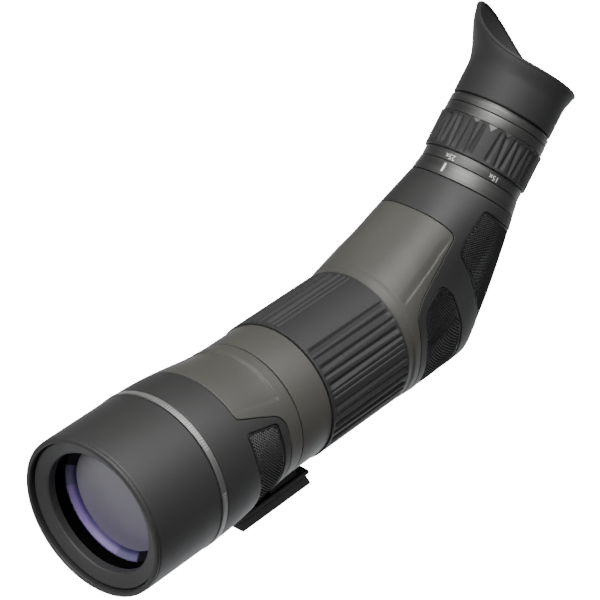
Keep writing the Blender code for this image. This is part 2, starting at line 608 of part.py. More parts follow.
def build_eyepiece(axis):
    lathe("index_ring", [(64.95, 30.1), (73.3, 28.75), (73.3, 24.8), (64.95, 24.8)], "grey_metal", axis)
    piece = lathe("eyepiece_tube", [(46.0, 25.4), (52.0, 25.4), (52.0, 24.4), (76.2, 24.4), (76.2, 22.9),
                                    (78.8, 22.9), (78.8, 24.4), (111.2, 24.4), (111.2, 19.1), (101.2, 19.1),
                                    (101.2, 17.5), (99.0, 17.5), (99.0, 22.0), (46.0, 22.0)],
                  "black_metal", axis, MIDDLE)
    slot_angles = [105.0 + 15.0 * i for i in range(11)]
    slot = skin_patch("zoom_slot", lambda station, angle, depth: polar(angle, depth, station), slot_angles,
                      lambda angle: 84.6, lambda angle: 89.4, (25.5, 21.2), 1, None, axis)
    combine(piece, [slot])
    lathe("zoom_ring_core", [(73.7, 28.5), (79.4, 28.6), (79.4, 27.6), (100.6, 27.6), (100.6, 29.0), (106.0, 29.0),
                             (106.0, 26.6), (95.5, 26.6), (95.5, 24.8), (73.7, 24.8)], "grey_metal", axis)
    ribbed_sleeve("zoom_grip_sleeve", (79.7, 100.3), 27.9, 28.6, 29.7, 15, "rubber", axis)
    seal("zoom_seal_ring", 77.5, 24.0, axis)
    tube("zoom_cam_sleeve", 52.0, 97.0, 21.6, 20.2, "bright_metal", axis, INNER)
    pin = lathe("zoom_drive_pin", [(21.9, 0), (21.9, 1.6), (24.5, 1.6), (24.5, 0)], "steel", axis, SMALL, solid=True)
    pin.matrix_local = Matrix.Translation((0, 0, 87.0 * MM)) @ Matrix.Rotation(math.radians(-90), 4, "X")
    cell = [(0.0, 19.8), (7.0, 19.8), (7.0, 14.6), (1.6, 14.6), (1.6, 13.0), (0.0, 13.0)]
    for name, station in (("field_lens", 60.0), ("variator_lens", 82.0)):
        lathe(name + "_cell", [(station + s, r) for s, r in cell], "black_metal", axis, INNER)
    lens("field_lens", 62.4, 65.0, 14.2, 0.7, 1.4, axis)
    lens("variator_lens", 84.6, 87.4, 14.2, 0.9, 1.2, axis)
    lens("eye_lens", 102.2, 105.4, 18.7, 1.6, 1.8, axis)
    tube("eye_lens_retainer", 106.4, 108.6, 18.7, 15.9, "black_metal", axis, INNER)
    tube("eyepiece_top_ring", 106.4, 111.6, 28.85, 26.6, "grey_metal", axis)


def cup_rim(angle):
    """Height and radius of the eyecup's rim: low on +X, a raised wing on -X."""
    wing = (1 - math.sin(math.radians(angle))) / 2
    return 138.4 + 27.6 * wing ** 3.4, 30.7 + 9.0 * wing ** 2.1


def cup_skin(share, angle, depth):
    height, rim_radius = cup_rim(angle)
    base, flare = 112.1, 128.0
    station = base + (height - base) * share
    rise = max(0.0, (station - flare) / (height - flare))
    radius = 28.75 + (rim_radius - 28.75) * rise * rise * (3 - 2 * rise)
    return polar(angle, radius - depth, station)


def build_eyecup(axis):
    tube("eyecup_guide_ring", 97.4, 116.5, 26.2, 24.8, "black_metal", axis, INNER)
    angles = ring_angles(VISIBLE)
    shares = [0, 0.45, 0.62, 0.78, 0.92]
    rings = [[cup_skin(share, angle, 0) for angle in angles] for share in shares]
    rings.append([cup_skin(1.0, angle, 0.7) for angle in angles])
    rings += [[cup_skin(share, angle, 1.6) for angle in angles] for share in shares[:1:-1]]
    for station, radius in ((126.0, 26.6), (119.0, 26.0), (118.9, 22.5), (116.9, 22.5), (116.9, 26.6),
                            (112.1, 26.6)):
        rings.append([polar(angle, radius, station) for angle in angles])
    ringed("eyecup", rings, "rubber", axis)


def main():
    clear_scene()
    barrel = add_axis("barrel_axis", 0.0, AXIS_HEIGHT, 0.0)
    eyepiece = add_axis("eyepiece_axis", BEND_STATION, AXIS_HEIGHT, BEND_ANGLE)
    build_sunshade(barrel)
    build_objective(barrel)
    build_front_skins(barrel)
    build_collar(barrel)
    build_foot()
    build_lock()
    build_tube(barrel)
    build_focus(barrel)
    build_housing()
    build_prism()
    build_eyepiece(eyepiece)
    build_eyecup(eyepiece)


main()
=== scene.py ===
"""Looks of the angled spotting scope: fine meshes, materials, studio light and camera.

The CAD frame gives the bodies and the size. Shapes are drawn in millimetres on the
CAD model's two axes: the barrel's, with stations from the sunshade's front rim, and
the eyepiece's, which leaves the barrel's at the bend and rises at 45 degrees. Round
either axis, angle 0 is the top and +X is at 90 degrees. A depth is measured inwards
from a skin's surface.
"""

import json
import math

import bmesh
import bpy
import numpy as np
from mathutils import Matrix, Vector


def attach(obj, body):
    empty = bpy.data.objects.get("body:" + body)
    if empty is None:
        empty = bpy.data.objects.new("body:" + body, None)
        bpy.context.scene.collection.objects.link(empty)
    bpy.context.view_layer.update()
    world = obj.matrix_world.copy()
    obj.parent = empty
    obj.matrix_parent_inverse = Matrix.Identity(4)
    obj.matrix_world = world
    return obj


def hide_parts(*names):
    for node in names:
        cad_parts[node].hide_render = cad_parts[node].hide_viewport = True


MM = 0.001

# Driving dimensions, in millimetres and degrees, as in the CAD model.
AXIS_HEIGHT = 53.4
FOOT_STATION = 116.7
BEND_STATION = 247.5
BEND_ANGLE = 45.0
COLLAR_FRONT, COLLAR_REAR, COLLAR_RADIUS = 114.1, 136.5, 38.1
FOCUS_FRONT, FOCUS_REAR, FOCUS_RADIUS = 136.9, 199.2, 39.0
HOUSING_FRONT = 199.6
NECK_STATION, NECK_RADIUS = 64.6, 30.3
FOOT_LENGTH, FOOT_WIDTH, FOOT_HEIGHT = 52.8, 38.0, 8.8
SOCKETS = ((-10.0, 4.76), (20.4, 3.18))         # y and radius
FOOT_SCREW_X, FOOT_SCREW_Y = 9.5, 8.8

SEGMENTS = 160          # around a turned piece
FINE = 224              # around the large ones at the front
SKIN = 1.7              # thickness of the armour
PANEL = 2.3             # thickness of the olive panels
SEAM = 0.16             # half of the slit between two skins
ROUND = 0.42            # radius of a skin's edge
PAD_GAP = 0.35          # a pad's rim, and the gap round it
GROOVE_DEPTH = 0.27     # of a grip's grooves, as a share of their width
PAINTED_REFLECTION_TURNS = (0.005, 0.222, 0.285, 0.930)      # where the painted reflections and painted shade on the lens bevel change, as shares of a turn, from under the barrel by way of -X


# -------------------- places on the axes

def axis_places(origin, axis, up, side=(1, 0, 0)):
    """Places about an axis: angle 0 points up, and 90 degrees to the side."""
    origin, axis, up, side = (np.array(way, float) for way in (origin, axis, up, side))

    def place(station, angle, radius):
        turn = np.radians(angle)
        spots = np.broadcast_arrays(station, radius * np.cos(turn), radius * np.sin(turn))
        along, out, across = (spot[..., None] for spot in spots)
        return origin + along * axis + out * up + across * side
    return place


SLOPE = math.radians(BEND_ANGLE)
LEAN = math.radians(-120)          # the lock knob's axis points down and to -X, square to the barrel
COLLAR_MIDDLE = (COLLAR_FRONT + COLLAR_REAR) / 2 - FOOT_STATION
on_barrel = axis_places((0, -FOOT_STATION, AXIS_HEIGHT), (0, 1, 0), (0, 0, 1))
on_eyepiece = axis_places((0, BEND_STATION - FOOT_STATION, AXIS_HEIGHT),
                          (0, math.cos(SLOPE), math.sin(SLOPE)), (0, -math.sin(SLOPE), math.cos(SLOPE)))
on_knob = axis_places((0, COLLAR_MIDDLE, AXIS_HEIGHT), (math.sin(LEAN), 0, math.cos(LEAN)), (0, 1, 0),
                      (math.cos(LEAN), 0, -math.sin(LEAN)))


def upright(x, y):
    """Places about a vertical axis; a station is a height."""
    return axis_places((x, y, 0), (0, 0, 1), (0, 1, 0))


def smoothstep(value):
    value = np.clip(value, 0.0, 1.0)
    return value * value * (3 - 2 * value)


def between(points, value):
    """Straight-line interpolation through (position, value) pairs."""
    return np.interp(value, [p[0] for p in points], [p[1] for p in points])


# -------------------- pieces

# The record's slot for each look. A CAD node gets the first look of its slot.
SLOTS = {"armour": "armour", "olive": "olive_panel", "black": "black_metal", "bezel": "black_metal",
         "recess": "black_metal", "rubber": "grip_rubber", "cup": "grip_rubber", "pad": "grip_pad",
         "bright": "bright_trim", "mark": "bright_trim", "ring": "grey_metal", "paint": "grey_metal",
         "steel": "steel", "seal": "seal_rubber", "polymer": "bearing_polymer",
         "eye_glass": "coated_glass", "lens": "coated_glass", "lens_edge": "coated_glass"}
LOOKS = {}


def add_piece(name, points, faces, look, node=None, body="scope_body", sharp=30.0):
    """A mesh from millimetre points, welded, facing out. Without a look it is a hidden cutter."""
    mesh = bpy.data.meshes.new(name)
    mesh.from_pydata((np.asarray(points, float) * MM).tolist(), [], [list(f) for f in faces])
    bm = bmesh.new()
    bm.from_mesh(mesh)
    bmesh.ops.remove_doubles(bm, verts=bm.verts, dist=2e-6)
    bmesh.ops.recalc_face_normals(bm, faces=bm.faces)
    bm.to_mesh(mesh)
    bm.free()
    mesh.shade_smooth()
    mesh.set_sharp_from_angle(angle=math.radians(sharp))
    item = bpy.data.objects.new(name, mesh)
    bpy.context.collection.objects.link(item)
    if look is None:
        item.hide_render = True
        item.display_type = "WIRE"
        return item
    mesh.materials.append(LOOKS[look])
    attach(item, body)
    if node:
        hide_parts(node)
    return item


def grid_quads(rows, columns, wrap_rows=True):
    """Faces between rows of points that each go right round."""
    quads = []
    for i in range(rows if wrap_rows else rows - 1):
        for j in range(columns):
            a, b = i * columns, (i + 1) % rows * columns
            k = (j + 1) % columns
            quads.append((a + j, a + k, b + k, b + j))
    return quads


def prism_faces(count, corners, top=None):
    """Faces of prisms, each given as two loops of corners; the first may have faces of its own."""
    loop = range(corners)
    shape = [*(top or [tuple(loop)]), tuple(corners + k for k in loop)]
    shape += [(k, (k + 1) % corners, (k + 1) % corners + corners, k + corners) for k in loop]
    return [[2 * corners * i + k for k in face] for i in range(count) for face in shape]


def rounded(outline, closed=True, steps=4):
    """(station, radius[, fillet]) points with their corners rounded off."""
    path = []
    count = len(outline)
    for i, corner in enumerate(outline):
        here = np.array(corner[:2], float)
        fillet = corner[2] if len(corner) > 2 else 0.0
        if not fillet or (not closed and i in (0, count - 1)):
            path.append(here)
            continue
        arms = [np.array(outline[(i + step) % count][:2], float) - here for step in (-1, 1)]
        cuts = [arm * min(fillet / np.linalg.norm(arm), 0.48) for arm in arms]
        for t in np.linspace(0, 1, steps + 1):
            path.append(here + cuts[0] * (1 - t) ** 2 + cuts[1] * t * t)
    return path


def turned(name, outline, look=None, node=None, body="scope_body", place=on_barrel, segments=SEGMENTS,
           solid=False):
    """Turn (station, radius[, fillet]) points about an axis; a solid's start and end on it."""
    path = rounded(outline, closed=not solid)
    angles = np.arange(segments) * 360.0 / segments
    points = np.concatenate([place(station, angles, radius) for station, radius in path])
    return add_piece(name, points, grid_quads(len(path), segments, wrap_rows=not solid), look, node, body)


def tube_outline(front, rear, outer, inner, fillet=0.25):
    return [(front, outer, fillet), (rear, outer, fillet), (rear, inner), (front, inner)]


def modify(item, kind, **settings):
    modifier = item.modifiers.new(kind.lower(), kind)
    for key, value in settings.items():
        setattr(modifier, key, value)


def combine(item, others, operation="DIFFERENCE"):
    """Cut the others from the item, or join them to it; they move with it."""
    for other in others:
        other.parent = item
        modify(item, "BOOLEAN", object=other, operation=operation, solver="EXACT")


def bevel(item, width, angle):
    modify(item, "BEVEL", width=width * MM, segments=2, limit_method="ANGLE", harden_normals=False,
           angle_limit=math.radians(angle))


def extruded(name, outline, start, end, look=None, node=None, body="scope_body"):
    """Extrude (x, z) points along Y."""
    points = [(x, y, z) for y in (start, end) for x, z in outline]
    return add_piece(name, points, prism_faces(1, len(outline)), look, node, body)


# -------------------- skins

class BarrelSkin:
    """The front barrel's surface. Along is the station, around is millimetres from the top."""

    SPREAD = 40.5 * math.pi / 180      # millimetres around for a degree

    def surface(self, along, around, depth):
        radius = 43.4 - 5.3 * smoothstep((along - 54) / 64)
        return on_barrel(along, around / self.SPREAD, radius - depth)

    def flat(self, station, angle):
        return (station, angle * self.SPREAD)


class HousingSkin:
    """The bent prism housing: sections that tilt with the spine from barrel to eyepiece."""

    SPREAD = 34.0 * math.pi / 180
    SPINE_RADIUS = 60.0
    TOP_FRONT, TOP_REAR = (HOUSING_FRONT, 38.2), (271.8, 66.6)
    BELLY, HEEL_RADIUS, BACK_OFFSET = -39.0, 10.0, 41.5
    WIDTHS = np.polyfit([0, 1 / 3, 2 / 3, 1], [38.8, 34.0, 31.8, NECK_RADIUS], 3)
    SQUARENESS = 0.9
    SAMPLES = 601

    def __init__(self):
        self.slope = SLOPE
        self.tangent = self.SPINE_RADIUS * math.tan(self.slope / 2)
        self.straight = BEND_STATION - self.tangent - HOUSING_FRONT
        self.arc = self.SPINE_RADIUS * self.slope
        self.length = self.straight + self.arc + NECK_STATION - self.tangent
        top = self.extended(self.TOP_FRONT, self.TOP_REAR)
        belly = self.heel_outline()
        self.shares = np.linspace(0, 1, self.SAMPLES)
        heights = []
        for share in self.shares:
            *centre, tilt = self.spine(share)
            up = (-math.sin(tilt), math.cos(tilt))
            heights.append((self.reach(centre, up, top), self.reach(centre, (-up[0], -up[1]), belly)))
        self.up_height, self.down_height = np.array(heights).T

    @staticmethod
    def extended(start, end, reach=60.0):
        step = [(end[i] - start[i]) / math.dist(start, end) * reach for i in (0, 1)]
        return [(start[0] - step[0], start[1] - step[1]), (end[0] + step[0], end[1] + step[1])]

    def heel_outline(self):
        """Side view: the belly line, the heel's arc, and the line up the neck's back."""
        c = math.cos(self.slope)
        foot = (BEND_STATION + self.BACK_OFFSET * c, -self.BACK_OFFSET * c)
        neck = (BEND_STATION + (NECK_STATION + NECK_RADIUS) * c, (NECK_STATION - NECK_RADIUS) * c)
        climb = math.atan2(neck[1] - foot[1], neck[0] - foot[0])
        corner = foot[0] + (self.BELLY - foot[1]) / math.tan(climb)
        cut = self.HEEL_RADIUS * math.tan(climb / 2)
        centre = (corner - cut, self.BELLY + self.HEEL_RADIUS)
        turns = [climb * i / 24 - math.pi / 2 for i in range(25)]
        arc = [(centre[0] + self.HEEL_RADIUS * math.cos(t), centre[1] + self.HEEL_RADIUS * math.sin(t))
               for t in turns]
        return [(HOUSING_FRONT - 60, self.BELLY), *arc, self.extended(foot, neck)[1]]

    def spine(self, share):
        """Station, height and tilt of the spine at a share of its length."""
        run = share * self.length
        tilt = np.clip((run - self.straight) / self.SPINE_RADIUS, 0, self.slope)
        before = np.minimum(run, self.straight)
        after = np.maximum(run - self.straight - self.arc, 0)
        station = HOUSING_FRONT + before + self.SPINE_RADIUS * np.sin(tilt) + after * math.cos(self.slope)
        return station, self.SPINE_RADIUS * (1 - np.cos(tilt)) + after * math.sin(self.slope), tilt

    @staticmethod
    def reach(centre, direction, outline):
        """How far a ray from the centre runs before it meets the outline."""
        for start, end in zip(outline, outline[1:]):
            along = (end[0] - start[0], end[1] - start[1])
            cross = direction[0] * along[1] - direction[1] * along[0]
            offset = (start[0] - centre[0], start[1] - centre[1])
            ray = (offset[0] * along[1] - offset[1] * along[0]) / cross if cross else -1.0
            share = (offset[0] * direction[1] - offset[1] * direction[0]) / cross if cross else -1.0
            if ray > 0 and -1e-6 <= share <= 1 + 1e-6:
                return ray
        raise ValueError("the section misses the housing's outline")

    def flat(self, share, angle):
        return (share * self.length, angle * self.SPREAD)

    def surface(self, along, around, depth):
        share = along / self.length
        turn = np.radians(around / self.SPREAD)
        sine, cosine = np.sin(turn), np.cos(turn)
        height = np.where(cosine > 0, np.interp(share, self.shares, self.up_height), np.interp(share,
                          self.shares, self.down_height))
        power = 2 / (2 + self.SQUARENESS * np.sin(math.pi * np.clip(share, 0, 1)))
        x = np.sign(sine) * np.abs(sine) ** power * np.polyval(self.WIDTHS, share)
        v = np.sign(cosine) * np.abs(cosine) ** power * height
        inset = 1 - depth / np.hypot(x, v)
        x, v = x * inset, v * inset
        y, z, tilt = self.spine(share)
        return np.stack([x, y - v * np.sin(tilt) - FOOT_STATION, z + v * np.cos(tilt) + AXIS_HEIGHT], -1)


def soft_path(skin, corners, radius, closed=False, sign=1, steps=5):
    """A path through (station or share, angle) corners, rounded off by a radius in millimetres."""
    outline = [(*skin.flat(at, sign * angle), radius) for at, angle in corners]
    return [tuple(p) for p in rounded(outline, closed, steps)]


def mirrored(half, turn=0.0):
    """Half an outline, and its mirror image back from where it ends."""
    return half + [(at, turn - angle) for at, angle in reversed(half[:-1])]


def counter_clockwise(path):
    area = sum(a[0] * b[1] - a[1] * b[0] for a, b in zip(path, [*path[1:], path[0]]))
    return path if area > 0 else path[::-1]


def offset_path(path, distance, closed=False):
    """The path moved sideways, to the left of its direction when distance is positive."""
    points = np.array(path, float)
    count = len(points)
    moved = []
    for i in range(count):
        before = points[i] - points[i - 1] if closed or i else points[1] - points[0]
        after = points[(i + 1) % count] - points[i] if closed or i < count - 1 else points[-1] - points[-2]
        normals = [np.array((-d[1], d[0])) / np.linalg.norm(d) for d in (before, after)]
        mitre = normals[0] + normals[1]
        moved.append(points[i] + distance * mitre * 2 / max(mitre @ mitre, 1.0))
    return [tuple(p) for p in moved]


def inside(polygon, u, v):
    """Which of the points (u, v) are inside the closed polygon."""
    found = np.zeros(np.shape(u), bool)
    for (ax, ay), (bx, by) in zip(polygon, [*polygon[1:], polygon[0]]):
        if ay != by:
            found ^= ((ay > v) != (by > v)) & (u < (bx - ax) * (v - ay) / (by - ay) + ax)
    return found


def clear_of(polygons, u, v):
    return ~np.any([inside(polygon, u, v) for polygon in polygons], axis=0)


def ahead_of(edge, front):
    """The area between an edge that runs right round a skin and a place in front of it."""
    return [*edge, (front, edge[-1][1] - 1), (front, edge[0][1] + 1)]


class Sheet:
    """A flat mesh of (along, around) points, cut along paths and then bent onto a skin."""

    TOLERANCE = 0.04
    WELD = 0.16

    def __init__(self, along, around, triangles=False):
        self.bm = bmesh.new()
        self.edges_of_wrap = (around[0], around[-1])
        rows = [[self.bm.verts.new((u, v, 0.0)) for v in around] for u in along]
        for i in range(len(along) - 1):
            for j in range(len(around) - 1):
                a, b, c, d = rows[i][j], rows[i + 1][j], rows[i + 1][j + 1], rows[i][j + 1]
                if not triangles:
                    self.bm.faces.new((a, b, c, d))
                elif (i + j) % 2:
                    self.bm.faces.new((a, b, c))
                    self.bm.faces.new((a, c, d))
                else:
                    self.bm.faces.new((a, b, d))
                    self.bm.faces.new((b, c, d))

    @staticmethod
    def box(spots):
        us, vs = zip(*(spot[:2] for spot in spots))
        return min(us), max(us), min(vs), max(vs)

    def face_box(self, face):
        return self.box([v.co for v in face.verts])

    @staticmethod
    def meet(box, other):
        return box[1] >= other[0] and box[0] <= other[1] and box[3] >= other[2] and box[2] <= other[3]

    def cut(self, path, closed=False):
        """Add edges along a path, through the faces that it crosses."""
        path = [*path, path[0]] if closed else list(path)
        near = {face: self.face_box(face) for face in self.bm.faces}
        near = {face: box for face, box in near.items() if self.meet(box, self.box(path))}
        for start, end in zip(path, path[1:]):
            a, b = Vector((*start, 0)), Vector((*end, 0))
            if (b - a).length < 1e-6:
                continue
            side = Vector((a.y - b.y, b.x - a.x, 0)).normalized()
            segment = self.box((a, b))
            hit = []
            for face, box in near.items():
                if self.meet(box, segment):
                    sides = [(v.co - a).dot(side) for v in face.verts]
                    if min(sides) < -self.TOLERANCE and max(sides) > self.TOLERANCE:
                        hit.append(face)
            if not hit:
                continue
            geometry = list({item for face in hit for item in (*face.verts, *face.edges)}) + hit
            result = bmesh.ops.bisect_plane(self.bm, geom=geometry, dist=self.TOLERANCE, plane_co=a,
                    plane_no=side)
            near.update({item: self.face_box(item) for item in result["geom"] if isinstance(item,
                        bmesh.types.BMFace)})

    def keep(self, wanted):
        """Drop the faces whose middle is not wanted(along, around), and weld tiny edges of the rim."""
        faces = list(self.bm.faces)
        middles = np.array([face.calc_center_median()[:2] for face in faces])
        gone = [face for face, stays in zip(faces, wanted(*middles.T)) if not stays]
        bmesh.ops.delete(self.bm, geom=gone, context="FACES")
        rim = [vert for vert in self.bm.verts if vert.is_boundary]
        bmesh.ops.remove_doubles(self.bm, verts=rim, dist=self.WELD)

    def closed_mesh(self, skin, edge, thickness, lift=None):
        """Points and faces of a closed shell: this sheet on top, rolled edges, and a back.

        The edge is a list of (outwards, depth) steps; lift gives the top's own depth.
        """
        bm = self.bm
        bm.verts.index_update()
        verts = list(bm.verts)
        flat = np.array([v.co[:2] for v in verts])
        top = np.zeros(len(verts)) if lift is None else lift(flat[:, 0], flat[:, 1])
        normals = {}
        rim = []
        for e in bm.edges:
            if len(e.link_faces) != 1:
                continue
            loop = e.link_loops[0]
            a, b = loop.vert, loop.link_loop_next.vert
            if any(abs(a.co.y - w) < 1e-5 and abs(b.co.y - w) < 1e-5 for w in self.edges_of_wrap):
                continue
            rim.append((a.index, b.index))
            out = np.array((b.co.y - a.co.y, a.co.x - b.co.x))
            middle = e.link_faces[0].calc_center_median()
            if (middle.x - a.co.x) * out[0] + (middle.y - a.co.y) * out[1] > 0:
                out = -out
            for v in (a, b):
                normals.setdefault(v.index, []).append(out)
        outs = {}
        for index, found in normals.items():
            way = sum(found) / max(np.linalg.norm(sum(found)), 1e-9)
            longest = max(found, key=np.linalg.norm)
            outs[index] = way / max(way @ longest / max(np.linalg.norm(longest), 1e-9), 0.7)
        points = [skin.surface(flat[:, 0], flat[:, 1], top)]
        points.append(skin.surface(flat[:, 0], flat[:, 1], np.full(len(verts), thickness)))
        count = len(verts)
        faces = [[v.index for v in face.verts] for face in bm.faces]
        faces += [[v.index + count for v in reversed(face.verts)] for face in bm.faces]
        order = sorted(outs)
        spots = flat[order]
        ways = np.array([outs[i] for i in order])
        level = {index: index for index in order}
        base = 2 * count
        for outwards, depth in edge:
            moved = spots + ways * outwards
            points.append(skin.surface(moved[:, 0], moved[:, 1], depth + top[order]))
            fresh = {index: base + k for k, index in enumerate(order)}
            faces += [(level[b], level[a], fresh[a], fresh[b]) for a, b in rim]
            level, base = fresh, base + len(order)
        faces += [(level[b], level[a], a + count, b + count) for a, b in rim]
        bm.free()
        return np.concatenate(points), faces


def quarter_round(radius, down, steps=3):
    """Edge steps that roll over by a radius and then go straight down to a depth."""
    turns = [math.pi / 2 * i / steps for i in range(1, steps + 1)]
    return [(radius * math.sin(t), radius * (1 - math.cos(t))) for t in turns] + [(radius, down)]


SKIN_EDGE = quarter_round(ROUND, 1.3)


def seam_edges(seam):
    """Where the skins on the right and on the left of a seam have their flat top's edge."""
    return (offset_path(seam, side * (SEAM + ROUND)) for side in (-1, 1))


def pocket_in(skin_sheet, pad):
    """Cut the opening for a pad, a gap wider than it all round, and return it."""
    pocket = offset_path(pad, -(PAD_GAP + ROUND), closed=True)
    skin_sheet.cut(pocket, closed=True)
    return pocket


# -------------------- materials

def rgb(colour, share=1.0):
    """The parts of a colour, or of a grey given as one number, times a share."""
    return tuple(c * share for c in (colour if isinstance(colour, tuple) else (colour,) * 3))


def new_node(tree, kind, inputs=None, **settings):
    """A new node, whose inputs are values or the sockets that feed them."""
    made = tree.nodes.new("ShaderNode" + kind)
    for key, value in settings.items():
        setattr(made, key, value)
    for key, value in (inputs or {}).items():
        if isinstance(value, bpy.types.NodeSocket):
            tree.links.new(value, made.inputs[key])
        else:
            made.inputs[key].default_value = value
    return made


class Weave:
    """A material, and short-hand for its node tree."""

    def __init__(self, name, colour, roughness, gloss=0.5, metallic=0.0, **settings):
        self.material = bpy.data.materials.new(name)
        self.material.use_nodes = True
        self.tree = self.material.node_tree
        self.shader = self.tree.nodes["Principled BSDF"]
        settings.update(Base_Color=(*rgb(colour), 1), Roughness=roughness, Metallic=metallic,
                        Specular_IOR_Level=gloss)
        for key, value in settings.items():
            self.shader.inputs[key.replace("_", " ")].default_value = value
        self.place = self.node("TexCoord").outputs["Object"]

    def node(self, kind, inputs=None, **settings):
        return new_node(self.tree, kind, inputs, **settings)

    def feed(self, name, source):
        self.tree.links.new(source, self.shader.inputs[name])

    def noise(self, scale, detail=3.0, stretch=None, tilt=0.0):
        """Noise over the object; stretch multiplies each axis after a turn about X."""
        place = self.place
        if stretch:
            turn = self.node("Mapping", {"Vector": place, "Rotation": (math.radians(tilt), 0, 0)})
            place = self.node("Mapping", {"Vector": turn.outputs["Vector"],
                    "Scale": stretch}).outputs["Vector"]
        return self.node("TexNoise", {"Vector": place, "Scale": scale, "Detail": detail}).outputs["Fac"]

    def share(self, value, low, high):
        """How far a value is from low to high."""
        return self.node("MapRange", {"Value": value, "From Min": low, "From Max": high}).outputs["Result"]

    def ramp(self, factor, stops):
        """Map a factor to colours or greys through (position, colour) stops."""
        ramp = self.node("ValToRGB", {"Fac": factor})
        elements = ramp.color_ramp.elements
        while len(elements) < len(stops):
            elements.new(0.5)
        for element, (position, colour) in zip(elements, stops):
            element.position = position
            element.color = (*rgb(colour), 1)
        return ramp.outputs["Color"]

    def shade(self, name, factor, low, high, start=0.3, end=0.7):
        """Feed a shader input between two colours or greys."""
        self.feed(name, self.ramp(factor, [(start, low), (end, high)]))

    def bump(self, height, strength, distance):
        made = self.node("Bump", {"Height": height, "Strength": strength, "Distance": distance * MM})
        self.feed("Normal", made.outputs["Normal"])


def grained(name, colour, roughness, gloss=0.5, grain=2200.0, depth=0.03, variation=0.03, metallic=0.0,
            **settings):
    """A moulded, coated or cast surface: fine grain, slow shade changes, uneven gloss."""
    weave = Weave(name, colour, roughness, gloss, metallic, **settings)
    weave.shade("Base Color", weave.noise(28.0, 4.0), rgb(colour, 1 - variation), rgb(colour, 1 + variation))
    weave.shade("Roughness", weave.noise(160.0, 5.0), roughness - 0.015, roughness + 0.02)
    weave.bump(weave.noise(grain, 2.0), 0.35, depth)
    return weave.material


def brushed(name, colour, roughness, tilt):
    """Metal brushed round an axis, which lies along Y turned up by tilt degrees."""
    weave = Weave(name, colour, roughness, metallic=0.9)
    lines = weave.noise(1.0, 3.0, (14.0, 5200.0, 14.0), -tilt)
    broad = weave.noise(1.0, 2.0, (22.0, 900.0, 22.0), -tilt)
    weave.shade("Base Color", lines, rgb(colour, 0.88), rgb(colour, 1.10))
    weave.shade("Roughness", broad, roughness - 0.06, roughness + 0.08)
    weave.bump(lines, 0.30, 0.012)
    return weave.material


def eye_glass(name):
    """A lens seen in reflection: dark inside, with its green coating in the gloss."""
    colour = (0.012, 0.016, 0.016)
    weave = Weave(name, colour, 0.04, IOR=1.8, Specular_Tint=(0.75, 0.9, 0.8, 1))
    weave.shade("Base Color", weave.noise(18.0, 1.0), rgb(colour, 0.9), rgb(colour, 1.1))
    return weave.material


def lens_rim(name):
    """The lens's bevel: violet, with a painted reflection brighter at the lower left, painted shade between
    two painted reflections, and painted shade towards the inside.
    """
    weave = Weave(name, (0.05, 0.04, 0.12), 0.42, gloss=0.3)
    split = weave.node("SeparateXYZ", {"Vector": weave.place}).outputs
    drop = weave.node("Math", {0: split["Z"], 1: AXIS_HEIGHT * MM}, operation="SUBTRACT").outputs["Value"]
    turn = weave.node("Math", {0: split["X"], 1: drop}, operation="ARCTAN2").outputs["Value"]
    # bright and dim are painted reflections and dark is painted shade, placed by the angle round the barrel's
    # axis
    bright, dim, dark = (0.195, 0.138, 0.335), (0.120, 0.105, 0.205), (0.003, 0.003, 0.005)
    first, second, third, fourth = PAINTED_REFLECTION_TURNS
    painted_reflection_ramp = weave.ramp(weave.share(turn, -math.pi, math.pi), [
        (0.0, dim), (first, bright), (second, bright), (second + 0.003, dim), (third, dim),
        (third + 0.004, dark), (fourth, dark), (fourth + 0.004, dim)])
    flat = weave.node("VectorMath", {0: weave.place, 1: (1, 0, 1), 2: (0, 0, -AXIS_HEIGHT * MM)},
                      operation="MULTIPLY_ADD").outputs["Vector"]
    radius = weave.node("VectorMath", {0: flat}, operation="LENGTH").outputs["Value"]
    # painted shade: the bevel darker towards its inner edge
    across = weave.ramp(weave.share(radius, 0.0288, 0.0325), [(0.15, (0.22, 0.20, 0.34)), (0.55, 1.0)])
    mix = weave.node("Mix", {"Factor": 1.0, "A": painted_reflection_ramp, "B": across}, data_type="RGBA",
                     blend_type="MULTIPLY")
    weave.feed("Base Color", mix.outputs["Result"])
    return weave.material


def lens_face(name):
    """A coated lens painted with a soft grey reflection: a painted highlight, lighter towards the top, that
    turns violet towards the lower side.
    """
    weave = Weave(name, (0.10, 0.10, 0.11), 0.32, gloss=0.25, Coat_Weight=0.25, Coat_Roughness=0.05)
    height = weave.node("SeparateXYZ", {"Vector": weave.place}).outputs["Z"]
    # painted reflection: lighter grey towards the top, darker violet towards the bottom
    weave.shade("Base Color", weave.share(height, (AXIS_HEIGHT - 30) * MM, (AXIS_HEIGHT + 30) * MM),
                (0.138, 0.126, 0.176), (0.190, 0.189, 0.203), start=0.15, end=0.75)
    return weave.material


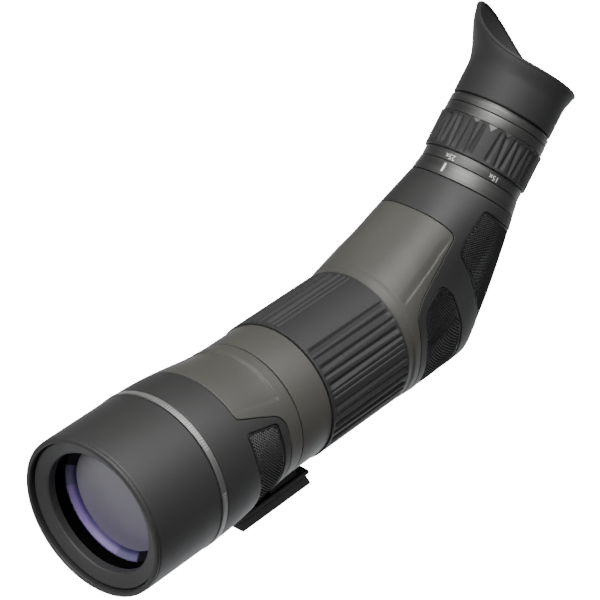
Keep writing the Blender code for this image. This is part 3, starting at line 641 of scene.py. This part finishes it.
def make_looks():
    LOOKS.update(
        armour=grained("soft_touch_armour", (0.0215, 0.0215, 0.021), 0.55, 0.42),
        olive=grained("olive_satin_paint", (0.0545, 0.0530, 0.0470), 0.50, 0.36, 2800.0, 0.02, 0.02),
        black=grained("black_anodised", 0.008, 0.45, 0.30, 3400.0, 0.015),
        bezel=grained("bezel_satin_black", 0.034, 0.50, 0.35, 3000.0, 0.015),
        recess=grained("matt_black_recess", 0.0012, 0.80, 0.03, 1800.0),
        rubber=grained("matt_grip_rubber", 0.021, 0.55, 0.35, 1500.0, 0.04),
        cup=grained("eyecup_rubber", 0.021, 0.58, 0.30, 1800.0),
        pad=grained("pad_rubber", 0.011, 0.48, 0.35, 1500.0, 0.04),
        seal=grained("seal_rubber", 0.010, 0.50, 0.50, 1500.0, 0.02),
        polymer=grained("bearing_polymer", (0.30, 0.29, 0.27), 0.45, 0.50, 1500.0, 0.02),
        paint=grained("white_marking_paint", (0.55, 0.55, 0.54), 0.55, 0.50, 2000.0, 0.01),
        mark=grained("silver_engraving", (0.38, 0.38, 0.37), 0.45, 0.50, 2000.0, 0.01, metallic=0.3),
        steel=grained("machined_steel", 0.40, 0.36, 0.50, 2600.0, 0.01, metallic=1.0),
        bright=brushed("trim_ring_metal", (0.22, 0.22, 0.215), 0.46, 0.0),
        ring=brushed("eyepiece_ring_metal", (0.105, 0.105, 0.102), 0.46, BEND_ANGLE),
        lens=lens_face("objective_glass"), lens_edge=lens_rim("lens_bevel"),
        eye_glass=eye_glass("eye_glass"))


# -------------------- sunshade and objective

def build_front():
    turned("sunshade_hood", [(0.1, 42.7, 0.4), (0.8, 43.3, 0.5), (1.75, 43.25, 0.2), (2.0, 42.95),
           (2.3, 43.25, 0.2), (3.0, 43.4, 0.4), (45.9, 43.4, 0.3), (45.9, 41.7), (4.2, 41.7, 0.3),
           (3.9, 40.7, 0.3), (0.9, 40.4, 0.4), (0.0, 40.75, 0.3)], "armour", "sunshade", "sunshade",
           segments=FINE)
    turned("silver_trim_ring", tube_outline(46.5, 50.2, 43.75, 41.7, 0.35), "bright", "trim_ring",
           segments=FINE)
    marks = []
    angles = [*np.arange(-44.0, 50.0, 2.0), *np.arange(80.0, 122.0, 2.0)]
    for angle in angles:
        reach = 1.05 if round(angle / 2.0) % 5 else 1.4
        turns = angle + 0.26 * np.array([-1, 1, 1, -1])
        stations = 48.35 + reach * np.array([-1, -1, 1, 1])
        marks += [on_barrel(stations, turns, 43.70), on_barrel(stations, turns, 43.79)]
    add_piece("trim_ring_ticks", np.concatenate(marks), prism_faces(len(angles), 4), "mark")
    turned("front_bezel", [(5.6, 41.2, 0.3), (4.6, 41.0, 0.2), (4.6, 40.2), (5.8, 40.1), (5.8, 39.9),
           (2.9, 39.8, 0.3), (4.9, 33.2, 0.3), (5.4, 32.6, 0.2), (9.6, 32.6), (9.6, 38.5), (7.7, 38.5),
           (7.7, 41.2)], "bezel", "objective_bezel", segments=FINE)
    turned("objective_barrel_tube", [(8.0, 38.9), (8.0, 41.25, 0.4), (37.6, 41.25, 0.2), (37.6, 40.3),
           (41.4, 40.3), (41.4, 41.25, 0.2), (56.0, 41.2), (72.0, 40.0), (84.0, 38.6), (98.0, 36.9),
           (112.0, 35.9), (112.0, 33.9), (104.0, 33.9), (34.6, 36.6), (34.6, 38.9)], "black",
           "objective_barrel", segments=FINE)
    turned("sunshade_brake_band", tube_outline(37.9, 41.1, 41.4, 40.35, 0.4), "seal", "sunshade_brake_ring")
    thread = ((10.4, 32.6), (10.76, 33.0))
    threads = [(station + i * 0.75, radius) for i in range(8) for station, radius in thread]
    turned("stepped_retaining_ring", [*threads, (16.4, 32.6), (16.4, 34.1), (10.4, 34.1)], "recess",
           "objective_retaining_ring")
    turned("objective_lens_edge", [(17.0, 34.0), (17.0, 32.75), (16.95, 32.2), (19.4, 29.9, 0.2),
           (20.9, 28.8), (21.1, 34.0)], "lens_edge", segments=FINE)
    face = [(20.8 - 1.2 * (1 - (r / 28.9) ** 2), r) for r in np.linspace(0, 28.9, 25)]
    turned("objective_lens", face + [(22.9, 28.9), (22.9, 0.0)], "lens", "objective_front_lens",
           segments=FINE, solid=True)


# -------------------- front skins

def build_front_skins():
    skin = BarrelSkin()
    wrap = 180 * skin.SPREAD
    seam = mirrored([(103.9, 180.0), (103.9, 67.0), (100.2, 58.5), (86.8, 50.3), (75.8, 44.5), (73.9, 42.5),
                     (73.9, 0.0)])
    armour_edge, panel_edge = seam_edges(soft_path(skin, seam, 3.2, steps=8))
    corners = [(75.0, 55.5), (97.6, 62.5), (98.6, 90.0), (98.0, 133.0), (80.0, 133.0), (76.5, 90.0),
               (75.0, 75.0)]
    pads = [counter_clockwise(soft_path(skin, corners, 2.4, closed=True, sign=sign)) for sign in (1, -1)]

    sheet = Sheet(np.linspace(51.0, 105.4, 48), np.linspace(-wrap, wrap, 241))
    sheet.cut(armour_edge)
    pockets = [pocket_in(sheet, pad) for pad in pads]
    sheet.keep(lambda u, v: inside(ahead_of(armour_edge, 0.0), u, v) & clear_of(pockets, u, v))
    add_piece("front_armour_skin", *sheet.closed_mesh(skin, SKIN_EDGE, SKIN), "armour", "front_armour",
              sharp=50.0)

    sheet = Sheet(np.linspace(72.0, 113.1, 44), np.linspace(-wrap, wrap, 241))
    sheet.cut(panel_edge)
    step_sides = [(78.0, 38.0), (85.6, 40.6), (100.4, 45.6), (105.2, 46.6)]
    step_rear, step_width, step_depth = 105.2, 1.2, 1.0
    for mirror in (1, -1):
        for shift in np.linspace(0.0, step_width, 4):
            rows = [(s, a * skin.SPREAD + shift) for s, a in step_sides]
            sheet.cut([(s, mirror * a) for s, a in rows])
            sheet.cut([(step_rear + shift, 0.0), (step_rear + shift, mirror * (rows[-1][1] + 0.5))])
    sheet.keep(lambda u, v: ~inside(ahead_of(panel_edge, 0.0), u, v))

    def recess(along, around):
        """A shallow recess on top that deepens to the rear and ends in a step."""
        side = between(step_sides, along) * skin.SPREAD
        deepening = smoothstep((along - 77.0) / 26.0) * (1 - smoothstep((along - step_rear) / step_width))
        return step_depth * deepening * (1 - smoothstep((np.abs(around) - side) / step_width))

    points, faces = sheet.closed_mesh(skin, SKIN_EDGE, PANEL, recess)
    add_piece("front_top_skin", points, faces, "olive", "front_top_panel", sharp=65.0)
    for pad, side in zip(pads, ("right", "left")):
        build_pad("front_pad_" + side, skin, pad, "front_grip_pad_" + side)


def build_pad(name, skin, outline, node):
    """A rubber pad sunk below the armour, with a rounded rim and raised diamonds."""
    step_along, step_around = 0.86, 0.94
    low, middle, high = 0.85, 0.40, 0.30      # depths of the field, the rim and the diamonds' tips
    us, vs = np.array(outline).T
    along = np.arange(us.min() - 1, us.max() + 1, step_along)
    around = np.arange(vs.min() - 1, vs.max() + 1, step_around)
    sheet = Sheet(along, around, triangles=True)
    sheet.edges_of_wrap = ()
    rim, field = (offset_path(outline, inset, closed=True) for inset in (PAD_GAP, 1.1))
    sheet.cut(rim, closed=True)
    sheet.cut(field, closed=True)
    sheet.keep(lambda u, v: inside(rim, u, v))

    def diamonds(at, across):
        i, j = (at - along[0]) / step_along, (across - around[0]) / step_around
        whole = (np.abs(i - np.round(i)) < 0.02) & (np.abs(j - np.round(j)) < 0.02)
        tip = whole & ((np.round(i) + np.round(j)) % 2 == 1)
        return np.where(inside(field, at, across), np.where(tip, high, low), middle)

    points, faces = sheet.closed_mesh(skin, quarter_round(PAD_GAP, 0.9), 1.5, diamonds)
    add_piece(name, points, faces, "pad", node, sharp=24.0)


# -------------------- collar, foot and lock

def build_collar():
    ring = turned("collar_ring", tube_outline(COLLAR_FRONT, COLLAR_REAR, COLLAR_RADIUS, 35.5, 0.4), "olive",
                  "tripod_collar", "collar")
    top, bottom = AXIS_HEIGHT - 36.6, FOOT_HEIGHT + 0.3
    stem = extruded("stem_cutter", [(-13.0, top), (-16.0, bottom), (16.0, bottom), (13.0, top)],
                    COLLAR_FRONT - FOOT_STATION + 0.6, COLLAR_REAR - FOOT_STATION - 0.6)
    boss = turned("boss_cutter", [(36.6, 0), (36.6, 6.5), (41.0, 5.6), (41.0, 0)], place=on_knob, segments=48,
                  solid=True)
    combine(ring, [stem, boss], "UNION")
    bevel(ring, 0.3, 40.0)


def build_foot():
    half, neck = FOOT_WIDTH / 2, FOOT_WIDTH / 2 - 3.1
    flank = [(half - 0.6, 0), (half, 0.6), (half, 1.6), (neck, 4.4), (neck, 4.9), (half - 0.9, 6.6),
             (half - 0.9, FOOT_HEIGHT - 0.6), (half - 1.5, FOOT_HEIGHT)]
    foot = extruded("dovetail_foot", flank + [(-x, z) for x, z in reversed(flank)], -FOOT_LENGTH / 2,
                    FOOT_LENGTH / 2, "black", "mounting_foot", "collar")
    cutters = []
    for number, (y, radius) in enumerate(SOCKETS):
        thread = [(-1.0, 0.0), (-1.0, radius + 0.7), (0.0, radius + 0.7), (0.7, radius)]
        for i in range(6):
            thread += [(0.9 + i, radius), (1.4 + i, radius + 0.35)]
        cutters.append(turned(f"socket_cutter_{number}", [*thread, (7.0, radius), (7.0, 0.0)],
                              place=upright(0.0, y), segments=48, solid=True))
    for number, side in enumerate(("right", "left")):
        place = upright(FOOT_SCREW_X if side == "right" else -FOOT_SCREW_X, FOOT_SCREW_Y)
        hole = [(-1, 0), (-1, 4.7), (1.3, 4.7), (3.5, 2.5), (10, 2.5), (10, 0)]
        cutters.append(turned(f"screw_hole_{number}", hole, place=place, segments=40, solid=True))
        head = [(2.2, 0), (2.2, 1.2), (0.4, 1.5), (0.4, 4.2, 0.2), (1.3, 4.2), (3.4, 2.1), (15, 2.1), (15, 0)]
        screw = turned(f"foot_screw_head_{number}", head, "steel", "foot_screw_" + side, "collar", place, 40,
                       True)
        socket = [(-1, 0), (-1, 1.75), (1.9, 1.75), (1.9, 0)]
        combine(screw, [turned(f"key_cutter_{number}", socket, place=place, segments=6, solid=True)])
    combine(foot, cutters)
    bevel(foot, 0.25, 30.0)


def build_lock():
    """The knob's grip is fluted: its rings also have a share of the flutes' depth."""
    rings = [(41.6, 2.4, 0), (41.6, 7.3, 0.4), (42.3, 8.2, 0.8), (43.4, 8.4, 1), (50.6, 8.4, 1),
             (51.7, 8.1, 0.8), (52.4, 7.2, 0.4), (52.5, 5.4, 0), (52.1, 5.0, 0), (52.1, 2.4, 0)]
    segments, lobes, flute = 168, 9, 1.3
    angles = np.arange(segments) * 360.0 / segments
    wave = flute * (0.5 - 0.5 * np.cos(np.radians(angles) * lobes)) ** 2.4
    points = [on_knob(station, angles, radius - share * wave) for station, radius, share in rings]
    add_piece("lock_knob_grip", np.concatenate(points), grid_quads(len(rings), segments), "black",
              "collar_lock_knob", "lock_knob")
    turned("lock_knob_stud", [(36.0, 0), (36.0, 1.9), (52.3, 1.9), (52.3, 4.5, 0.3), (53.6, 4.3, 0.6),
                              (54.2, 3.0, 0.5), (54.2, 1.6, 0.2), (53.2, 1.4), (53.2, 0)],
           "steel", "collar_lock_stud", "lock_knob", on_knob, 64, True)


# -------------------- ribbed grips

def grooved_sleeve(name, place, stations, radii, grooves, look, node, body):
    """A rubber sleeve with V grooves cut from one end to the other.

    Each groove is (angle, tilt, width at the front, width at the rear, end at the front, end at
    the rear): tilt turns it from end to end, and an end is how far its floor takes to come up.
    """
    (front, rear), (outer, inner) = stations, radii
    length = rear - front
    grooves = sorted(grooves)
    ends = np.array([0.0, 0.3, 0.8, 1.4, 2.4, 3.6, 5.0])
    rows = np.concatenate([ends, np.linspace(7.0, length - 7.0, 6), length - ends[::-1]])
    rings = []
    for at in rows:
        share = at / length
        spots = []
        for angle, tilt, wide_front, wide_rear, front_end, rear_end in grooves:
            middle = angle + tilt * (share - 0.5)
            width = wide_front + (wide_rear - wide_front) * share
            grown = np.clip(min((at - 0.8) / front_end, (length - 0.8 - at) / rear_end), 0.0, 1.0)
            floor = outer - GROOVE_DEPTH * math.radians(width) * outer * grown
            spots.append([(middle - width / 2, outer), (middle - 0.2, floor), (middle + 0.2, floor),
                          (middle + width / 2, outer)])
        ring = []
        for i, spot in enumerate(spots):
            ring += spot
            start = spot[-1][0]
            end = spots[(i + 1) % len(spots)][0][0] + (360.0 if i == len(spots) - 1 else 0.0)
            gap = (grooves[(i + 1) % len(grooves)][0] - grooves[i][0]) % 360.0
            lands = 2 if gap < 10 else round(gap / 1.2)
            ring += [(start + (end - start) * k / lands, outer) for k in range(1, lands)]
        angles, radii_here = np.array(ring).T
        drop = 0.3 if at in (rows[0], rows[-1]) else 0.0
        rings.append(place(front + at, angles, radii_here - drop))
    rings += [place(end, angles, np.full(len(angles), inner)) for end in (rear, front)]
    add_piece(name, np.concatenate(rings), grid_quads(len(rings), len(angles)), look, node, body, 16.0)


def build_focus():
    grooves = []
    for turn in 48.0 * np.arange(7):
        for k in range(5):
            widths, ends = ((4.0, 6.5), (1.2, 2.6)) if k % 2 else ((6.5, 4.0), (2.6, 1.2))
            grooves.append(((33.0 + 7.45 * k + turn) % 360.0, (-0.6, 1.0)[k % 2], *widths, *ends))
        grooves += [((angle + turn) % 360.0, 0.0, 2.6, 2.2, 2.0, 2.0) for angle in (67.9, 72.4)]
    grooved_sleeve("focus_grip", on_barrel, (FOCUS_FRONT + 0.1, FOCUS_REAR - 0.1), (FOCUS_RADIUS, 37.3),
                   grooves, "rubber", "focus_grip_sleeve", "focus_ring")
    turned("focus_ring_body", tube_outline(FOCUS_FRONT, FOCUS_REAR, 37.0, 36.2, 0.2), "black",
           "focus_ring_core", "focus_ring")


# -------------------- prism housing skins

def build_housing_skins():
    skin = HousingSkin()
    wrap = 180 * skin.SPREAD
    seam = mirrored([(0.11, 180.0), (0.11, 64.0), (0.19, 56.5), (0.36, 54.0), (0.65, 53.0), (0.755, 50.0),
                     (0.775, 36.0), (0.788, 16.0), (0.79, 0.0)])
    saddle_edge, armour_edge = seam_edges(soft_path(skin, seam, 3.4, steps=6))
    corners = [(0.195, 66.5), (0.375, 65.5), (0.435, 68.5), (0.470, 80.0), (0.455, 92.0), (0.42, 106.0),
               (0.36, 142.0), (0.165, 142.0), (0.165, 86.0), (0.17, 74.0)]
    pads = [counter_clockwise(soft_path(skin, corners, 2.6, closed=True, sign=sign)) for sign in (1, -1)]
    corners = mirrored([(0.94, 61.5), (0.74, 62.0), (0.70, 65.5), (0.68, 71.0), (0.64, 86.0), (0.59, 92.0),
                        (0.55, 104.0), (0.47, 180.0)], 360.0)
    back = counter_clockwise(soft_path(skin, corners, 2.6, closed=True))

    sheet = Sheet(np.linspace(0.35, 0.80 * skin.length, 76), np.linspace(-wrap, wrap, 201))
    sheet.cut(saddle_edge)
    crease = [(0.075, 46.5), (0.25, 45.2), (0.50, 46.2), (0.73, 47.2), (0.80, 47.6)]
    ridge, ridge_width, ridge_drop = 0.062 * skin.length, 2.4, 0.75
    crease_width, crease_run, crease_depth = 1.2, 5.0, 0.42
    sides = [skin.flat(*spot) for spot in crease]
    for sign in (1, -1):
        for shift in (-crease_run, *np.linspace(0.0, crease_width, 4)):
            sheet.cut([(u, sign * (v + shift)) for u, v in sides])
    for shift in np.linspace(0.0, ridge_width, 4):
        sheet.cut([(ridge - shift, -wrap), (ridge - shift, wrap)])
    sheet.keep(lambda u, v: inside(ahead_of(saddle_edge, -9.0), u, v))

    def plateau(along, around):
        """The middle dips towards a crease on each side, and drops in front to the rim."""
        past = np.abs(around) - between(sides, along)
        groove = smoothstep(1 + past / crease_run) * (1 - smoothstep(past / crease_width))
        fade = smoothstep((along - ridge) / 4.0) * (1 - smoothstep((along / skin.length - 0.66) / 0.12))
        drop = ridge_drop * smoothstep((ridge - along) / ridge_width)
        return np.maximum(crease_depth * groove * fade, drop)

    points, faces = sheet.closed_mesh(skin, SKIN_EDGE, PANEL, plateau)
    add_piece("saddle_skin", points, faces, "olive", "saddle_panel", sharp=65.0)

    sheet = Sheet(np.linspace(0.10 * skin.length, 0.996 * skin.length, 84), np.linspace(0, 2 * wrap, 201))
    sheet.cut(armour_edge)
    sheet.cut([(u, v + 2 * wrap) for u, v in armour_edge])
    pockets = [pocket_in(sheet, pad) for pad in (pads[0], [(u, v + 2 * wrap) for u, v in pads[1]], back)]
    saddle_area = ahead_of(armour_edge, -9.0)
    sheet.keep(lambda u, v: clear_of(pockets, u, v)
               & ~inside(saddle_area, u, np.where(v < wrap, v, v - 2 * wrap)))
    points, faces = sheet.closed_mesh(skin, SKIN_EDGE, SKIN)
    add_piece("rear_armour_skin", points, faces, "armour", "rear_armour", sharp=50.0)
    for pad, side in zip(pads, ("right", "left")):
        build_pad("side_pad_" + side, skin, pad, "side_grip_pad_" + side)
    build_pad("rear_pad", skin, back, "rear_grip_pad")


# -------------------- eyepiece

def on_dial(text, angle, station, height, radius):
    """A number painted on the dial, upright for someone behind the eyepiece."""
    name = "dial_mark_" + text
    curve = bpy.data.curves.new(name + "_curve", "FONT")
    curve.body = text
    curve.size = height / 0.70
    curve.align_x, curve.align_y = "CENTER", "CENTER"
    curve.resolution_u = 4
    source = bpy.data.objects.new(name + "_curve", curve)
    bpy.context.collection.objects.link(source)
    flat = source.to_mesh()
    bm = bmesh.new()
    bm.from_mesh(flat)
    bmesh.ops.remove_doubles(bm, verts=bm.verts, dist=1e-4)
    top = [(v.co.x, v.co.y) for v in bm.verts]
    faces = [[v.index for v in f.verts] for f in bm.faces]
    rim = [(e.link_loops[0].vert.index, e.link_loops[0].link_loop_next.vert.index)
           for e in bm.edges if len(e.link_faces) == 1]
    bm.free()
    source.to_mesh_clear()
    bpy.data.objects.remove(source)
    bpy.data.curves.remove(curve)
    across, up = np.array(top).T
    turns = angle - np.degrees(across / radius)
    count = len(top)
    points = np.concatenate([on_eyepiece(station - up, turns, radius + 0.05),
                             on_eyepiece(station - up, turns, radius - 0.10)])
    sides = [(b, a, a + count, b + count) for a, b in rim]
    backs = [[i + count for i in reversed(face)] for face in faces]
    add_piece(name, points, faces + backs + sides, "paint", body="zoom_ring")


def build_eyepiece():
    turned("index_band", [(64.95, 30.1, 0.3), (73.3, 28.75, 0.25), (73.3, 24.8), (64.95, 24.8)], "ring",
           "index_ring", place=on_eyepiece)
    turned("zoom_ring_bands",
           [(73.7, 28.5, 0.25), (79.4, 28.6, 0.2), (79.4, 27.6), (100.6, 27.6), (100.6, 29.0, 0.2),
            (106.0, 29.0, 0.25), (106.0, 26.6), (95.5, 26.6), (95.5, 24.8), (73.7, 24.8)],
           "ring", "zoom_ring_core", "zoom_ring", on_eyepiece)
    turned("top_band", [(106.4, 28.85, 0.2), (110.3, 28.85, 0.25), (110.3, 27.2), (111.6, 27.2),
                        (111.6, 26.6), (106.4, 26.6)], "ring", "eyepiece_top_ring", place=on_eyepiece)
    grooves, teeth = [], []
    for turn in 72.0 * np.arange(5):
        for k in range(7):
            widths, ends = ((5.0, 8.0), (1.2, 2.4)) if k % 2 else ((8.0, 5.0), (2.4, 1.2))
            grooves.append(((38.5 + 8.67 * k + turn) % 360.0, (2.4, -2.4)[k % 2], *widths, *ends))
        for angle, half_width, reach in ((28.0, 5.2, 3.3), (10.0, 4.2, 2.0), (46.0, 4.2, 2.0)):
            turns = angle + turn + half_width * np.array([-1.0, 1.0, 0.9, 0.0, -0.9])
            stations = np.array([100.65, 100.65, 100.1, 100.1 - reach, 100.1])
            teeth += [on_eyepiece(stations, turns, np.array([29.0, 29.0, 29.85, 29.85, 29.85])),
                      on_eyepiece(stations, turns, 28.2)]
    grooved_sleeve("zoom_grip", on_eyepiece, (79.7, 100.3), (29.7, 27.9), grooves, "cup", "zoom_grip_sleeve",
                   "zoom_ring")
    faces = prism_faces(len(teeth) // 2, 5, [(0, 4, 2, 1), (2, 4, 3)])
    add_piece("zoom_band_teeth", np.concatenate(teeth), faces, "ring", body="zoom_ring")
    for text, angle in (("15x", 54.0), ("25x", 0.6), ("45x", -62.0)):
        on_dial(text, angle, 76.1, 2.9, 28.55)
    stations, turns = np.array([(66.9, -1.3), (66.9, 1.3), (71.9, 1.3), (71.9, -1.3)]).T
    radius = 30.1 - (stations - 64.95) * 1.35 / 8.35
    points = np.concatenate([on_eyepiece(stations, turns, radius + lift) for lift in (0.05, -0.2)])
    add_piece("index_bar", points, prism_faces(1, 4), "paint")
    turned("eyecup_guide_tube", tube_outline(97.4, 116.5, 26.2, 24.8), "black", "eyecup_guide_ring",
           "eyecup_carrier", on_eyepiece)
    turned("eye_lens_mount", [(106.4, 18.7), (108.6, 18.7, 0.2), (108.6, 16.4, 0.2), (107.0, 15.9),
                              (106.4, 15.9)], "recess", "eye_lens_retainer", place=on_eyepiece)
    rings = np.linspace(0, 18.7, 15)
    rear_face = [(105.4 + 1.8 * (1 - (r / 18.7) ** 2), r) for r in rings]
    front_face = [(102.2 - 1.6 * (1 - (r / 18.7) ** 2), r) for r in rings[::-1]]
    turned("eye_lens_glass", rear_face + front_face, "eye_glass", "eye_lens", place=on_eyepiece, solid=True)


def build_eyecup():
    """The cup's rim is low on +X and rises to a wing on -X."""
    segments, top_radius = 192, 28.75
    base, flare, wall, bead, stop = 112.1, 128.0, 1.5, 1.15, 0.985
    angles = np.arange(segments) * 360.0 / segments
    wing = (1 - np.sin(np.radians(angles))) / 2
    height, rim_radius = 138.4 + 27.6 * wing ** 3.4, 30.7 + 9.0 * wing ** 2.1

    def skin(share, depth):
        station = base + (height - base) * share
        rise = smoothstep((station - flare) / (height - flare))
        return station, top_radius + (rim_radius - top_radius) * rise - depth

    end_station, end_radius = skin(stop, 0)
    rings = [(base + 0.35, top_radius), (base + 0.9, top_radius)]
    rings += [skin(share, 0) for share in np.linspace(0.10, stop - 0.02, 30)]
    rings += [(end_station - 0.2 + bead * np.sin(turn) * 0.9, end_radius - wall / 2 + bead * np.cos(turn))
              for turn in np.radians(np.linspace(-60, 240, 13))]
    rings += [skin(share, wall) for share in np.linspace(stop - 0.02, 0.5, 24)]
    rings += [(124.0, 26.8), (120.0, 26.1), (119.2, 25.6), (118.9, 24.6), (118.9, 23.0), (118.5, 22.5),
              (117.2, 22.5), (116.9, 22.9), (116.9, 26.6), (112.1, 26.6), (112.1, 28.4)]
    points = np.concatenate([on_eyepiece(station, angles, radius) for station, radius in rings])
    add_piece("winged_eyecup", points, grid_quads(len(rings), segments), "cup", "eyecup", "eyecup", 45.0)


# -------------------- carried-over CAD nodes

def dress_cad_nodes(frame):
    """Every CAD node that still shows gets the finish of its record slot."""
    slots = {row["node"]: row["material_slot"] for row in frame["record"]["subparts"]}
    first_look = {slot: look for look, slot in reversed(SLOTS.items())}
    first_look["clear_glass"] = "eye_glass"
    for node, item in frame["nodes"].items():
        look = LOOKS[first_look[slots[node]]]
        if item.data.materials:
            for index in range(len(item.data.materials)):
                item.material_slots[index].material = look
        else:
            item.data.materials.append(look)


# -------------------- studio and camera

def add_light(name, direction, distance, size, power):
    """A softbox that faces the middle of the scope from a direction."""
    way, aim = Vector(direction).normalized(), Vector((0.0, 0.05, 0.06))
    data = bpy.data.lights.new(name, "AREA")
    data.size = size
    data.energy = power
    item = bpy.data.objects.new(name, data)
    item.location = aim + way * distance
    item.rotation_euler = (-way).to_track_quat("-Z", "Y").to_euler()
    bpy.context.collection.objects.link(item)


def build_studio():
    """A pale floor that curves up all round and lights nothing, a glow from below, and three softboxes."""
    sweep = [(0.0, 0.0), (3.5, 0.0), (4.6, 0.2), (5.4, 0.8), (5.9, 1.8), (6.0, 6.0)]     # radius and height
    segments = 64
    turns = np.radians(np.arange(segments) * 360.0 / segments)
    points = [(radius * math.sin(t), radius * math.cos(t), height) for radius, height in sweep for t in turns]
    mesh = bpy.data.meshes.new("studio_floor")
    mesh.from_pydata(points, [], grid_quads(len(sweep), segments, wrap_rows=False))
    floor = bpy.data.objects.new("studio_floor", mesh)
    bpy.context.collection.objects.link(floor)
    mesh.materials.append(grained("pale_floor", 0.93, 0.9, grain=60.0, depth=0.05, variation=0.01,
                                  Emission_Color=(1, 1, 1, 1), Emission_Strength=16.0))
    floor.visible_diffuse = floor.visible_glossy = floor.visible_shadow = floor.visible_transmission = False
    world = bpy.data.worlds.new("studio_world")
    bpy.context.scene.world = world
    world.use_nodes = True
    tree = world.node_tree
    background = tree.nodes["Background"].inputs
    background["Color"].default_value = (0.95, 0.97, 1.0, 1)
    towards = new_node(tree, "TexCoord").outputs["Generated"]
    facing = new_node(tree, "VectorMath", {0: towards, 1: Vector((-0.38, 0.30, -0.87)).normalized()},
                      operation="DOT_PRODUCT").outputs["Value"]
    glow = new_node(tree, "MapRange", {"Value": facing, "From Min": 0.45, "From Max": 0.95, "To Min": 0.13,
                                       "To Max": 2.0}, interpolation_type="SMOOTHSTEP")
    tree.links.new(glow.outputs["Result"], background["Strength"])
    add_light("top_softbox", (0.22, -0.16, 0.96), 1.7, 1.25, 51)
    add_light("rear_softbox", (0.32, 0.58, 0.75), 1.6, 1.1, 12)
    add_light("front_softbox", (-0.15, -1.0, 0.50), 1.6, 0.9, 22)


def build_camera():
    """The view: azimuth and elevation of the line of sight, a slight roll, and the lens."""
    azimuth, elevation, roll = (math.radians(a) for a in (39.28, 34.22, 0.38))
    distance, target = 1.4283, Vector((0, 0.0453, 0.0750))
    level = math.cos(elevation)
    back = Vector((math.sin(azimuth) * level, -math.cos(azimuth) * level, math.sin(elevation)))
    right = Vector((math.cos(azimuth), math.sin(azimuth), 0))
    up = back.cross(right)
    right, up = (right * math.cos(roll) + up * math.sin(roll), up * math.cos(roll) - right * math.sin(roll))
    data = bpy.data.cameras.new("view_camera")
    data.sensor_width = 36.0
    data.lens = 167.6
    data.shift_x, data.shift_y = -0.00997, 0.05935
    data.clip_start, data.clip_end = 0.05, 50.0
    data.dof.use_dof = False
    camera = bpy.data.objects.new("view_camera", data)
    turn = Matrix((right, up, back)).transposed().to_4x4()
    camera.matrix_world = Matrix.Translation(target + back * distance) @ turn
    bpy.context.collection.objects.link(camera)
    bpy.context.scene.camera = camera


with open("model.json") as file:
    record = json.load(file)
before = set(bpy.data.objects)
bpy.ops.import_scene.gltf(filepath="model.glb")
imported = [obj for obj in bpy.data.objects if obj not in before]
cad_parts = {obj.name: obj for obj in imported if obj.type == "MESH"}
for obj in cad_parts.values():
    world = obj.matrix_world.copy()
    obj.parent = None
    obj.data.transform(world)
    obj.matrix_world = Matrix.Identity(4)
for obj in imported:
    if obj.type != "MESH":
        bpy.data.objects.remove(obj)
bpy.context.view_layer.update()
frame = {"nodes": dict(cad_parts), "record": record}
make_looks()
build_camera()
build_studio()
dress_cad_nodes(frame)
build_front()
build_front_skins()
build_collar()
build_foot()
build_lock()
build_focus()
build_housing_skins()
build_eyepiece()
build_eyecup()
